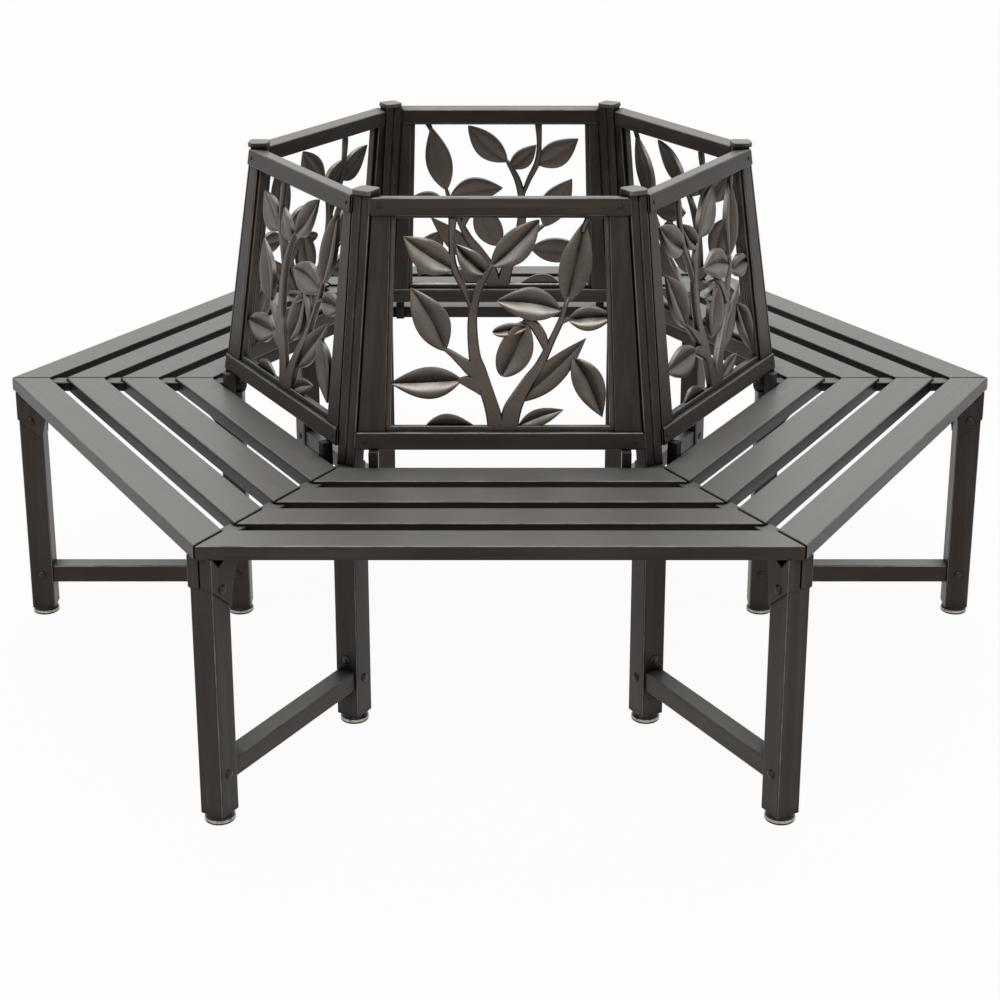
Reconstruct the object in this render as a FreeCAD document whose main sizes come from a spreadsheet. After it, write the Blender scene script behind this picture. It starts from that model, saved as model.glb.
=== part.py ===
import FreeCAD, Part
import math
import os
import re
import Sketcher

# Hexagonal steel bench that stands round a tree, with six seats facing outwards, millimetres, Z up.
# The origin is on the ground under the middle of the tree opening, and two corners lie on the X axis.
# A sector piece is drawn in the sector that faces -Y, a corner piece on the corner at +X, and each is
# then turned round Z, so the six of a kind share one drawing.

SIDES = 6
TURN = 360 / SIDES

SIZES = {
    # seat
    "seat_corner_radius": 800,
    "seat_top": 416,
    "slat_width": 54,
    "slat_gap": 23,
    "slat_fold": 20,
    "slat_sheet": 1.5,
    "slat_lip": 3,
    "slat_edge_radius": 2.5,
    "seam_gap": 3,
    # radial bars under the seams
    "bar_width": 26,
    "bar_wall": 2,
    "bar_edge_radius": 2,
    "bar_side_clearance": 0.5,
    "bar_end_gap": 0.5,
    "bar_inner_overhang": 4,
    # legs
    "leg_size": 38,
    "leg_wall": 2,
    "leg_edge_radius": 3,
    "leg_plate": 10,
    "leg_ground_gap": 13,
    "outer_leg_setback": 11,
    "inner_leg_setback": 31,
    # stretchers
    "stretcher_size": 30,
    "stretcher_wall": 2,
    "stretcher_edge_radius": 3,
    "stretcher_centre": 72.5,
    "stretcher_butt_gap": 0.3,
    "tongue_size": 24,
    "tongue_reach": 30,
    "tongue_clearance": 0.3,
    "tongue_plug": 14,
    # corner brackets on the outer legs, and cleats on the inner legs
    "bracket_sheet": 2,
    "bracket_slit": 3,
    "bracket_face_drop": 45,
    "bracket_side_drop": 80,
    "bracket_wide_gusset": 29,
    "bracket_narrow_gusset": 7,
    "bracket_hollow": 0.3,
    "bracket_notch_depth": 16,
    "bracket_notch_shift": 6,
    "bracket_shelf": 20,
    "bracket_bolt_drop": 49,
    "cleat_reach": 34,
    "cleat_tail": 28,
    "cleat_drop": 60,
    "cleat_bolt_drop": 22,
    # levelling feet
    "foot_rim_diameter": 43,
    "foot_rim_height": 5,
    "foot_rim_radius": 1.8,
    "foot_neck_diameter": 37,
    "foot_leg_gap": 0.3,
    "stud_diameter": 8,
    "stud_top": 44,
    "stud_clearance": 0.05,
    # back panels
    "back_lean": 7.2,
    "back_slope": 366,
    "back_rise": 22,
    "back_seat_gap": 10.8,
    "rail_size": 26,
    "rail_wall": 1.5,
    "rail_edge_radius": 2.5,
    "stile_top_width": 28,
    "stile_bottom_width": 42,
    "stile_setback": 4,
    "stile_depth": 20,
    "stile_edge_radius": 3,
    # leaf castings inside the back panels
    "casting_fit": 0.3,
    "casting_setback": 8,
    "casting_depth": 10,
    "casting_top_rim": 4,
    "casting_bottom_rim": 8,
    "casting_side_rim": 6,
    # corner posts, their lugs and caps
    "post_width": 30,
    "post_depth": 28,
    "post_wall": 2,
    "post_edge_radius": 3,
    "post_stand": 2,
    "post_setback": 12,
    "post_groove_width": 5,
    "post_groove_depth": 3,
    "post_rail_gap": 3,
    "lug_clearance": 0.5,
    "lug_length": 30,
    "lug_weld": 1,
    "cap_side_overhang": 1.5,
    "cap_face_overhang": 2.5,
    "cap_height": 7,
    "cap_corner_radius": 8,
    "cap_edge_radius": 2,
    "cap_shift": 2,
    # blocks between the back panels and the seat
    "block_width": 14,
    "block_rail_cover": 5,
    "block_inset": 16,
    "block_drop": 18,
    # bolts
    "bolt_diameter": 6,
    "bolt_clearance": 0.2,
    "bolt_head_diameter": 11,
    "bolt_head_height": 3.5,
    "bolt_head_radius": 1.5,
    "rail_bolt_inset": 12,
    "rail_bolt_length": 16,
    "face_screw_rise": 33,
    "face_screw_length": 12,
}

# Places that several pieces share, as expressions in the sizes above.
SEAT_APOTHEM = "(seat_corner_radius * cos(30))"
SEAT_INNER_APOTHEM = f"({SEAT_APOTHEM} - 4 * slat_width - 3 * slat_gap)"
SEAT_INNER_CORNER = f"({SEAT_INNER_APOTHEM} / cos(30))"
LEG_TOP = "(seat_top - slat_fold)"
BAR_TOP = "(seat_top - slat_sheet - slat_lip)"
OUTER_LEG = "(seat_corner_radius - outer_leg_setback - leg_size / 2)"
BAR_OUTER = f"({OUTER_LEG} + leg_size / 2 - bar_end_gap)"
INNER_LEG = f"({SEAT_INNER_CORNER} - inner_leg_setback)"
BAR_INNER = f"({INNER_LEG} - leg_size / 2 - bar_inner_overhang)"
BACK_APOTHEM = f"({SEAT_INNER_APOTHEM} - back_seat_gap)"
BACK_BOTTOM = "(seat_top + back_rise)"
POST_TOP = f"({BACK_BOTTOM} + back_slope * cos(back_lean) + post_stand)"
LUG_SIZE = "(rail_size - 2 * rail_wall - 2 * lug_clearance)"
POST_TILT = "(tan(back_lean) / cos(30))"
POST_FOOT = (f"(({BACK_APOTHEM} + ({BACK_BOTTOM} - {BAR_TOP}) * tan(back_lean)) / cos(30)"
             " - post_setback)")
RAIL_END_OFFSET = "(post_width / 2 + post_rail_gap)"

# The leaf casting's drawing: millimetres from the middle of the bottom rail's top edge, drawn for an
# opening of this half-width (at mid height) and height, and stretched to the real opening.
DRAWN_HALF_WIDTH = 160
DRAWN_HEIGHT = 314

# Each stem is a line of (across, up, width).
STEMS = [
    [(5, 2, 40), (-12, 48, 30), (-34, 89, 25), (-40, 131, 15), (-40, 172, 13), (-29, 211, 12),
     (-10, 244, 10)],
    [(12, 2, 36), (24, 42, 21), (46, 78, 19), (68, 120, 14), (83, 156, 13), (96, 196, 10)],
    [(-40, 186, 9), (-56, 222, 9), (-67, 244, 9), (-69, 275, 9), (-67, 312, 11)],
    [(-36, 88, 24), (-80, 122, 13)],
    [(-20, 58, 26), (-58, 73, 17)],
    [(68, 121, 15), (39, 160, 12)],
    [(86, 163, 9), (103, 165, 8)],
    [(117, 290, 6), (128, 312, 8)],
]

# Each leaf is (base, tip, width, sideways bend of its middle).
LEAVES = [
    ((-10, 243), (56, 306), 41, -3),
    ((-77, 120), (-128, 208), 50, -4),
    ((-55, 76), (-158, 70), 46, 2),
    ((-67, 237), (-138, 282), 44, 3),
    ((96, 190), (119, 295), 44, -1),
    ((39, 60), (123, 136), 27, -9),
    ((110, 106), (148, 24), 40, 4),
    ((40, 158), (5, 86), 42, 2),
    ((36, 153), (-9, 140), 14, 1),
    ((84, 176), (-14, 191), 46, -3),
    ((97, 165), (160, 168), 33, 0),
    ((-18, 232), (-62, 272), 28, 3),
    ((-107, 8), (-38, 8), 34, 0),
    ((28, 8), (90, 31), 24, 2),
]

# A leaf's side: share of the way to the tip, half-width as a share of the width, share of the bend.
LEAF_SHAPE = [(0.2, 0.36, 0.6), (0.45, 0.5, 1), (0.75, 0.33, 0.7)]

doc = FreeCAD.newDocument("TreeBench")
sheet = doc.addObject("Spreadsheet::Sheet", "Sizes")
for row, (alias, size) in enumerate(SIZES.items(), start=1):
    sheet.set(f"A{row}", alias.replace("_", " "))
    sheet.set(f"B{row}", str(size))
    sheet.setAlias(f"B{row}", alias)
doc.recompute()

# An edge taller than this runs the length of a post or stile.
TALL_EDGE = 100

ALIASES = re.compile(r"\b(" + "|".join(SIZES) + r")\b")


def sized(text):
    """The expression with each size's name pointed at its cell."""
    return ALIASES.sub(r"Sizes.\1", str(text))


def number(text):
    """The present value of an expression in the sizes."""
    result = sheet.evalExpression(sized(text))
    return float(getattr(result, "Value", result))


def new_body(name):
    return doc.addObject("PartDesign::Body", name)


def sketch_on(body, role, height="0"):
    """An empty sketch on one of the body's own planes, lifted along its normal."""
    plane = next(item for item in body.Origin.OriginFeatures if item.Role == role)
    sketch = body.newObject("Sketcher::SketchObject", body.Name + "Sketch")
    sketch.AttachmentSupport = (plane, [""])
    sketch.MapMode = "FlatFace"
    sketch.setExpression("AttachmentOffset.Base.z", sized(height))
    return sketch


def pin_point(sketch, edge, end, across, up):
    """Hold one end, or the centre, of a sketch edge at a place given by expressions."""
    for kind, text in (("DistanceX", across), ("DistanceY", up)):
        index = sketch.addConstraint(Sketcher.Constraint(kind, -1, 1, edge, end, number(text)))
        sketch.setExpression(f"Constraints[{index}]", sized(text))


def arc_through(start, middle, finish, forward):
    """The arc through three points, drawn anticlockwise as a sketch needs it."""
    circle = Part.Arc(start, middle, finish).toShape().Curve
    centre = circle.Center
    first, last = (start, finish) if forward else (finish, start)
    angles = [math.atan2(end.y - centre.y, end.x - centre.x) for end in (first, last)]
    return Part.ArcOfCircle(Part.Circle(centre, FreeCAD.Vector(0, 0, 1), circle.Radius), *angles)


def add_outline(sketch, corners, arc_after=None, arc_middle=None):
    """A closed outline through corners; the edge after one of them may be an arc through a point."""
    places = [FreeCAD.Vector(number(x), number(y), 0) for x, y in corners]
    first = sketch.GeometryCount
    ends = []
    for index, place in enumerate(places):
        following = places[(index + 1) % len(places)]
        if index == arc_after:
            middle = FreeCAD.Vector(number(arc_middle[0]), number(arc_middle[1]), 0)
            forward = (middle - place).cross(following - middle).z > 0
            sketch.addGeometry(arc_through(place, middle, following, forward), False)
            ends.append((1, 2) if forward else (2, 1))
        else:
            sketch.addGeometry(Part.LineSegment(place, following), False)
            ends.append((1, 2))
    for index in range(len(places)):
        following = (index + 1) % len(places)
        sketch.addConstraint(Sketcher.Constraint(
            "Coincident", first + index, ends[index][1], first + following, ends[following][0]))
    for index, (across, up) in enumerate(corners):
        pin_point(sketch, first + index, ends[index][0], across, up)
    if arc_after is not None:
        middle = FreeCAD.Vector(number(arc_middle[0]), number(arc_middle[1]), 0)
        point = sketch.addGeometry(Part.Point(middle), True)
        pin_point(sketch, point, 1, *arc_middle)
        sketch.addConstraint(Sketcher.Constraint("PointOnObject", point, 1, first + arc_after))


def add_rectangle(sketch, left, right, low, high):
    add_outline(sketch, [(left, low), (right, low), (right, high), (left, high)])


def add_circle(sketch, across, up, diameter):
    centre = FreeCAD.Vector(number(across), number(up), 0)
    edge = sketch.addGeometry(Part.Circle(centre, FreeCAD.Vector(0, 0, 1), number(diameter) / 2), False)
    pin_point(sketch, edge, 3, across, up)
    index = sketch.addConstraint(Sketcher.Constraint("Diameter", edge, number(diameter)))
    sketch.setExpression(f"Constraints[{index}]", sized(diameter))


def grow(kind, body, sketch, length, back=False, both_ways=False):
    """A Pad or Pocket of the sketch, as long as the expression says."""
    feature = body.newObject("PartDesign::" + kind, body.Name + kind)
    feature.Profile = sketch
    feature.Reversed = back
    feature.Midplane = both_ways
    feature.setExpression("Length", sized(length))
    doc.recompute()
    return feature


def pad(body, sketch, length, **way):
    return grow("Pad", body, sketch, length, **way)


def pocket(body, sketch, length, **way):
    return grow("Pocket", body, sketch, length, **way)


def round_edges(body, radius, chosen):
    """Fillet those edges of the body's last feature that the test picks out."""
    base = body.Tip
    names = [f"Edge{i}" for i, edge in enumerate(base.Shape.Edges, start=1) if chosen(edge)]
    fillet = body.newObject("PartDesign::Fillet", body.Name + "Fillet")
    fillet.Base = (base, names)
    fillet.setExpression("Radius", sized(radius))
    doc.recompute()
    return fillet


def runs_along(edge, direction):
    """True for a straight edge along the direction."""
    ends = edge.Vertexes
    if len(ends) != 2:
        return False
    run = ends[1].Point - ends[0].Point
    along = abs(run.dot(FreeCAD.Vector(*direction)))
    return along > 0.999 * run.Length and abs(edge.Length - run.Length) < 1e-6


def gather(label, pieces):
    """One object that holds the pieces as separate solids."""
    group = doc.addObject("Part::Compound", label)
    group.Links = pieces
    return group


def turned(piece, label, turn):
    """The piece, turned round the middle of the bench by so many sixths."""
    copy = gather(label, [piece])
    copy.Placement = FreeCAD.Placement(
        FreeCAD.Vector(0, 0, 0), FreeCAD.Rotation(FreeCAD.Vector(0, 0, 1), TURN * turn))
    return copy


def mirrored(piece, name, normal):
    """The piece, mirrored in the plane through the origin with this normal."""
    mirror = doc.addObject("Part::Mirroring", name)
    mirror.Source = piece
    mirror.Base = FreeCAD.Vector(0, 0, 0)
    mirror.Normal = FreeCAD.Vector(*normal)
    return mirror


def combine(kind, name, base, tool):
    result = doc.addObject("Part::" + kind, name)
    result.Base = base
    result.Tool = tool
    return result


def across_corner(along, aside, side):
    """Sector coordinates of a point measured along and beside the radial line of a corner."""
    across = f"{side} * (({along}) * sin(30) - ({aside}) * cos(30))"
    out = f"-(({along}) * cos(30)) - ({aside}) * sin(30)"
    return across, out


def half_length(apothem, edge_gap):
    """Half the width of a sector at this distance out, less a gap square to the seam."""
    return f"(({apothem}) * tan(30) - ({edge_gap}) / cos(30))"


def ring_of_edges(outer, inner, edge_gap):
    """Corners of a strip across the sector that faces -Y."""
    return [
        (f"-{half_length(outer, edge_gap)}", f"-({outer})"),
        (half_length(outer, edge_gap), f"-({outer})"),
        (half_length(inner, edge_gap), f"-({inner})"),
        (f"-{half_length(inner, edge_gap)}", f"-({inner})"),
    ]


def make_slat(row):
    """A slat of folded sheet with mitred ends, row 0 outermost, notched over the radial bars."""
    body = new_body(f"Slat{row}")
    outer = f"({SEAT_APOTHEM} - {row} * (slat_width + slat_gap))"
    inner = f"({outer} - slat_width)"
    top = sketch_on(body, "XY_Plane", "seat_top")
    add_outline(top, ring_of_edges(outer, inner, "seam_gap / 2"))
    pad(body, top, "slat_fold", back=True)
    height = number("seat_top")
    round_edges(body, "slat_edge_radius", lambda edge: edge.BoundBox.ZMin > height - 0.01)
    hollow = sketch_on(body, "XY_Plane", "seat_top - slat_sheet")
    add_outline(hollow, ring_of_edges(
        f"({outer} - slat_sheet)", f"({inner} + slat_sheet)", "seam_gap / 2 + slat_sheet"))
    pocket(body, hollow, "slat_fold")
    passage = sketch_on(body, "XY_Plane", BAR_TOP)
    reach = f"({BAR_OUTER} + bar_side_clearance)"
    near = f"({inner} / cos(30) - slat_width)"
    aside = "(bar_width / 2 + bar_side_clearance)"
    for side in (1, -1):
        add_outline(passage, [
            across_corner(near, aside, side),
            across_corner(reach, aside, side),
            across_corner(reach, "-seam_gap", side),
            across_corner(near, "-seam_gap", side),
        ])
    pocket(body, passage, "slat_fold")
    return body


def make_seat_bar():
    """The square tube under a seam, from the inner leg to the outer one, carrying both seats."""
    body = new_body("SeatBar")
    section = sketch_on(body, "YZ_Plane", BAR_INNER)
    add_rectangle(section, "-bar_width / 2", "bar_width / 2", LEG_TOP, BAR_TOP)
    pad(body, section, f"{BAR_OUTER} - {BAR_INNER}")
    round_edges(body, "bar_edge_radius", lambda edge: runs_along(edge, (1, 0, 0)))
    bore = sketch_on(body, "YZ_Plane", BAR_INNER)
    add_rectangle(bore, "-bar_width / 2 + bar_wall", "bar_width / 2 - bar_wall",
                  f"{LEG_TOP} + bar_wall", f"{BAR_TOP} - bar_wall")
    pocket(body, bore, f"{BAR_OUTER} - {BAR_INNER}", back=True)
    return body


def make_leg(name, centre, inner_side):
    """A square tube leg with a bored foot plate, a window for the tongue and its bolt holes."""
    body = new_body(name)
    half = "leg_size / 2"
    section = sketch_on(body, "XY_Plane", "leg_ground_gap")
    add_rectangle(section, f"{centre} - {half}", f"{centre} + {half}", f"-{half}", half)
    pad(body, section, f"{LEG_TOP} - leg_ground_gap")
    round_edges(body, "leg_edge_radius", lambda edge: runs_along(edge, (0, 0, 1)))
    bore = sketch_on(body, "XY_Plane", "leg_ground_gap + leg_plate")
    bore_half = f"({half} - leg_wall)"
    add_rectangle(bore, f"{centre} - {bore_half}", f"{centre} + {bore_half}", f"-{bore_half}", bore_half)
    pocket(body, bore, "seat_top", back=True)
    stud_hole = sketch_on(body, "XY_Plane", "leg_ground_gap")
    add_circle(stud_hole, centre, "0", "stud_diameter + 2 * stud_clearance")
    pocket(body, stud_hole, "leg_plate", back=True)
    wall = f"{centre} {'-' if inner_side else '+'} {half}"
    window = sketch_on(body, "YZ_Plane", wall)
    opening = "(tongue_size / 2 + tongue_clearance)"
    add_rectangle(window, f"-{opening}", opening,
                  f"stretcher_centre - {opening}", f"stretcher_centre + {opening}")
    pocket(body, window, "leg_wall", back=inner_side)
    return body


def drill_sideways(body, places):
    """Bolt holes right through the body along Y, at (along X, up Z) places."""
    holes = sketch_on(body, "XZ_Plane")
    for along, up in places:
        add_circle(holes, along, up, "bolt_diameter + bolt_clearance")
    pocket(body, holes, "4 * leg_size", both_ways=True)


def make_outer_leg():
    body = make_leg("OuterLeg", OUTER_LEG, True)
    inside = "(leg_size / 2 - leg_wall)"
    notch = sketch_on(body, "XZ_Plane")
    add_outline(notch, [
        (f"{OUTER_LEG} - {inside}", f"{LEG_TOP} + slat_lip"),
        (f"{OUTER_LEG} - {inside}", LEG_TOP),
        (f"{OUTER_LEG} + bracket_notch_shift", f"{LEG_TOP} - bracket_notch_depth"),
        (f"{OUTER_LEG} + {inside}", LEG_TOP),
        (f"{OUTER_LEG} + {inside}", f"{LEG_TOP} + slat_lip"),
    ])
    pocket(body, notch, "2 * leg_size", both_ways=True)
    drill_sideways(body, [(OUTER_LEG, "stretcher_centre"), (OUTER_LEG, f"{LEG_TOP} - bracket_bolt_drop")])
    return body


def make_inner_leg():
    body = make_leg("InnerLeg", INNER_LEG, False)
    drill_sideways(body, [(INNER_LEG, "stretcher_centre"), (INNER_LEG, f"{LEG_TOP} - cleat_bolt_drop")])
    face = sketch_on(body, "YZ_Plane", f"{INNER_LEG} + leg_size / 2")
    add_circle(face, "0", "stretcher_centre + face_screw_rise", "bolt_diameter + bolt_clearance")
    pocket(body, face, "leg_wall")
    return body


def make_stretcher():
    """The low tube between the two legs of a corner, with a tongue into each leg."""
    body = new_body("Stretcher")
    start = f"({INNER_LEG} + leg_size / 2 + stretcher_butt_gap)"
    finish = f"({OUTER_LEG} - leg_size / 2 - stretcher_butt_gap)"

    def square(plane, size):
        add_rectangle(plane, f"-({size}) / 2", f"({size}) / 2",
                      f"stretcher_centre - ({size}) / 2", f"stretcher_centre + ({size}) / 2")

    tube = sketch_on(body, "YZ_Plane", start)
    square(tube, "stretcher_size")
    pad(body, tube, f"{finish} - {start}")
    round_edges(body, "stretcher_edge_radius", lambda edge: runs_along(edge, (1, 0, 0)))
    bore = sketch_on(body, "YZ_Plane", f"{start} + tongue_plug")
    square(bore, "stretcher_size - 2 * stretcher_wall")
    pocket(body, bore, f"{finish} - {start} - 2 * tongue_plug", back=True)
    for face, back in ((start, True), (finish, False)):
        tongue = sketch_on(body, "YZ_Plane", face)
        square(tongue, "tongue_size")
        pad(body, tongue, "tongue_reach + stretcher_butt_gap", back=back)
    drill_sideways(body, [(INNER_LEG, "stretcher_centre"), (OUTER_LEG, "stretcher_centre")])
    return body


def make_bracket(name, gusset, shelf):
    """A folded bracket on the +Y half of an outer leg: face flange, notched side flange, shelf."""
    body = new_body(name)
    outer = f"({OUTER_LEG} + leg_size / 2)"
    inner = f"({OUTER_LEG} - leg_size / 2)"
    side = sketch_on(body, "XZ_Plane", "-leg_size / 2")
    foot = f"{LEG_TOP} - bracket_side_drop"
    add_outline(
        side,
        [
            (f"{outer} + bracket_sheet", LEG_TOP),
            (outer, LEG_TOP),
            (f"{OUTER_LEG} + bracket_notch_shift", f"{LEG_TOP} - bracket_notch_depth"),
            (inner, LEG_TOP),
            (f"{inner} - {gusset}", LEG_TOP),
            (inner, foot),
            (f"{outer} + bracket_sheet", f"{LEG_TOP} - bracket_face_drop"),
        ],
        arc_after=4,
        arc_middle=(f"{inner} - {gusset} * bracket_hollow", f"{LEG_TOP} - bracket_side_drop / 2"),
    )
    pad(body, side, "bracket_sheet", back=True)
    face = sketch_on(body, "YZ_Plane", outer)
    add_rectangle(face, "bracket_slit / 2", "leg_size / 2 + bracket_sheet",
                  f"{LEG_TOP} - bracket_face_drop", LEG_TOP)
    pad(body, face, "bracket_sheet")
    corner = number(f"{outer} + bracket_sheet"), number("leg_size / 2 + bracket_sheet")
    round_edges(body, "bracket_sheet", lambda edge: runs_along(edge, (0, 0, 1))
                and abs(edge.Vertexes[0].X - corner[0]) < 0.01
                and abs(edge.Vertexes[0].Y - corner[1]) < 0.01)
    if shelf:
        ledge = sketch_on(body, "XY_Plane", LEG_TOP)
        add_rectangle(ledge, f"{inner} - {gusset}", inner,
                      "leg_size / 2", "leg_size / 2 + bracket_sheet + bracket_shelf")
        pad(body, ledge, "bracket_sheet", back=True)
    drill_sideways(body, [(OUTER_LEG, f"{LEG_TOP} - bracket_bolt_drop")])
    return body


def make_cleat():
    """A flat gusset on the +Y side of an inner leg, reaching out under the innermost slat."""
    body = new_body("Cleat")
    outer = f"({INNER_LEG} + leg_size / 2)"
    inner = f"({outer} - cleat_tail)"
    side = sketch_on(body, "XZ_Plane", "-leg_size / 2")
    add_outline(side, [
        (inner, LEG_TOP),
        (inner, f"{LEG_TOP} - cleat_drop"),
        (outer, f"{LEG_TOP} - cleat_drop"),
        (f"{outer} + cleat_reach", f"{LEG_TOP} - bracket_notch_depth"),
        (f"{outer} + cleat_reach", LEG_TOP),
    ])
    pad(body, side, "bracket_sheet", back=True)
    drill_sideways(body, [(INNER_LEG, f"{LEG_TOP} - cleat_bolt_drop")])
    return body


def make_foot():
    """A round levelling foot with a bell-shaped pad and a stud that runs in the leg's plate."""
    body = new_body("Foot")
    half = sketch_on(body, "XZ_Plane")
    shoulder = "leg_ground_gap - foot_leg_gap"
    add_outline(half, [
        ("0", "0"),
        ("foot_rim_diameter / 2", "0"),
        ("foot_rim_diameter / 2", "foot_rim_height"),
        ("foot_neck_diameter / 2", shoulder),
        ("stud_diameter / 2", shoulder),
        ("stud_diameter / 2", "stud_top"),
        ("0", "stud_top"),
    ])
    revolution = body.newObject("PartDesign::Revolution", "FootRevolution")
    revolution.Profile = half
    revolution.ReferenceAxis = (half, ["V_Axis"])
    revolution.Angle = 360
    doc.recompute()
    rim = number("foot_rim_diameter / 2")
    round_edges(body, "foot_rim_radius", lambda edge: len(edge.Vertexes) == 1
                and abs(edge.Curve.Radius - rim) < 0.01)
    return body


def make_sector_prism(name, offset, low, high):
    """All of a sector between two planes that run beside its corners' radial lines."""
    body = new_body(name)
    plan = sketch_on(body, "XY_Plane", low)
    far = "seat_corner_radius"
    apex = f"(({offset}) / sin(30))"
    add_outline(plan, [
        ("0", f"-{apex}"),
        (f"-({far} - {apex}) * tan(30)", f"-{far}"),
        (f"({far} - {apex}) * tan(30)", f"-{far}"),
    ])
    pad(body, plan, f"({high}) - ({low})")
    return body


def lean_back(piece):
    """Stand a piece drawn in the panel's own frame on the seat: X across, Y in, Z up the slope."""
    piece.Placement = FreeCAD.Placement(
        FreeCAD.Vector(0, 0, 0), FreeCAD.Rotation(FreeCAD.Vector(-1, 0, 0), number("back_lean")))
    piece.setExpression("Placement.Rotation.Angle", "Sizes.back_lean")
    piece.setExpression("Placement.Base.y", sized(f"-{BACK_APOTHEM}"))
    piece.setExpression("Placement.Base.z", sized(BACK_BOTTOM))
    return piece


def outer_face_end(height):
    """Half the length of the panel's outer face at a height up its slope."""
    return half_length(f"{BACK_APOTHEM} - ({height}) * sin(back_lean)", RAIL_END_OFFSET)


def rail_bolt_place(height):
    return f"({outer_face_end(height)} - rail_bolt_inset)"


def make_rail(name, low):
    """A square tube across the back panel, its ends cut beside the posts."""
    body = new_body(name)
    long = f"(2 * {BACK_APOTHEM} * tan(30))"
    section = sketch_on(body, "YZ_Plane")
    add_rectangle(section, "0", "rail_size", low, f"{low} + rail_size")
    pad(body, section, long, both_ways=True)
    round_edges(body, "rail_edge_radius", lambda edge: runs_along(edge, (1, 0, 0)))
    bore = sketch_on(body, "YZ_Plane")
    add_rectangle(bore, "rail_wall", "rail_size - rail_wall",
                  f"{low} + rail_wall", f"{low} + rail_size - rail_wall")
    pocket(body, bore, long, both_ways=True)
    holes = sketch_on(body, "XZ_Plane")
    middle = f"({low} + rail_size / 2)"
    for side in ("", "-"):
        add_circle(holes, f"{side}{rail_bolt_place(middle)}", middle, "bolt_diameter + bolt_clearance")
    pocket(body, holes, "rail_wall")
    return body


def opening_half_width(height):
    """Half the width between the stiles at a height up the slope."""
    top = f"({outer_face_end('back_slope')} - stile_top_width)"
    low = f"({outer_face_end('0')} - stile_bottom_width)"
    share = f"(({height}) / back_slope)"
    return f"({low} + ({top} - {low}) * {share})"


def make_stile():
    """The upright at the +X side of the panel, widening downwards."""
    body = new_body("Stile")
    low, high = "rail_size", "(back_slope - rail_size)"
    beyond = f"(2 * {BACK_APOTHEM} * tan(30))"
    front = sketch_on(body, "XZ_Plane", "-stile_setback")
    add_outline(front, [
        (opening_half_width(low), low),
        (beyond, low),
        (beyond, high),
        (opening_half_width(high), high),
    ])
    pad(body, front, "stile_depth", back=True)
    inner = number(opening_half_width("0"))
    round_edges(body, "stile_edge_radius", lambda edge: edge.BoundBox.ZLength > TALL_EDGE
                and edge.BoundBox.XMax < inner + 0.01)
    return body


def make_back_frame():
    """Two rails and two stiles, trimmed to the sector beside the posts."""
    sector = make_sector_prism("PanelSector", RAIL_END_OFFSET, LEG_TOP, f"2 * {POST_TOP}")
    members = [
        lean_back(make_rail("BottomRail", "0")),
        lean_back(make_rail("TopRail", "(back_slope - rail_size)")),
        lean_back(make_stile()),
    ]
    trimmed = [combine("Common", "Trimmed" + member.Name, member, sector) for member in members]
    trimmed.append(mirrored(trimmed[-1], "OtherStile", (1, 0, 0)))
    return gather("BackFrame", trimmed)


def smooth_strip(spine, widths):
    """A flat face along a line of points, with smooth sides this far apart at each point."""
    sides = ([], [])
    for index, place in enumerate(spine):
        before = spine[max(index - 1, 0)]
        after = spine[min(index + 1, len(spine) - 1)]
        heading = (after - before).normalize()
        aside = FreeCAD.Vector(-heading.z, 0, heading.x) * (widths[index] / 2)
        sides[0].append(place + aside)
        sides[1].append(place - aside)
    edges = []
    for side in sides:
        curve = Part.BSplineCurve()
        curve.interpolate(side)
        edges.append(curve.toShape())
    edges.append(Part.makeLine(sides[0][0], sides[1][0]))
    edges.append(Part.makeLine(sides[0][-1], sides[1][-1]))
    return Part.Face(Part.Wire(Part.__sortEdges__(edges)))


def leaf_face(base, tip, width, bend):
    """A flat leaf, widest a little before its middle and pointed at both ends."""
    along = tip - base
    aside = FreeCAD.Vector(-along.z, 0, along.x).normalize()
    edges = []
    for side in (1, -1):
        places = [base]
        for share, half_width, bent in LEAF_SHAPE:
            places.append(base + along * share + aside * (side * width * half_width + bend * bent))
        places.append(tip)
        curve = Part.BSplineCurve()
        curve.interpolate(places)
        edges.append(curve.toShape())
    return Part.Face(Part.Wire(Part.__sortEdges__(edges)))


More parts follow.
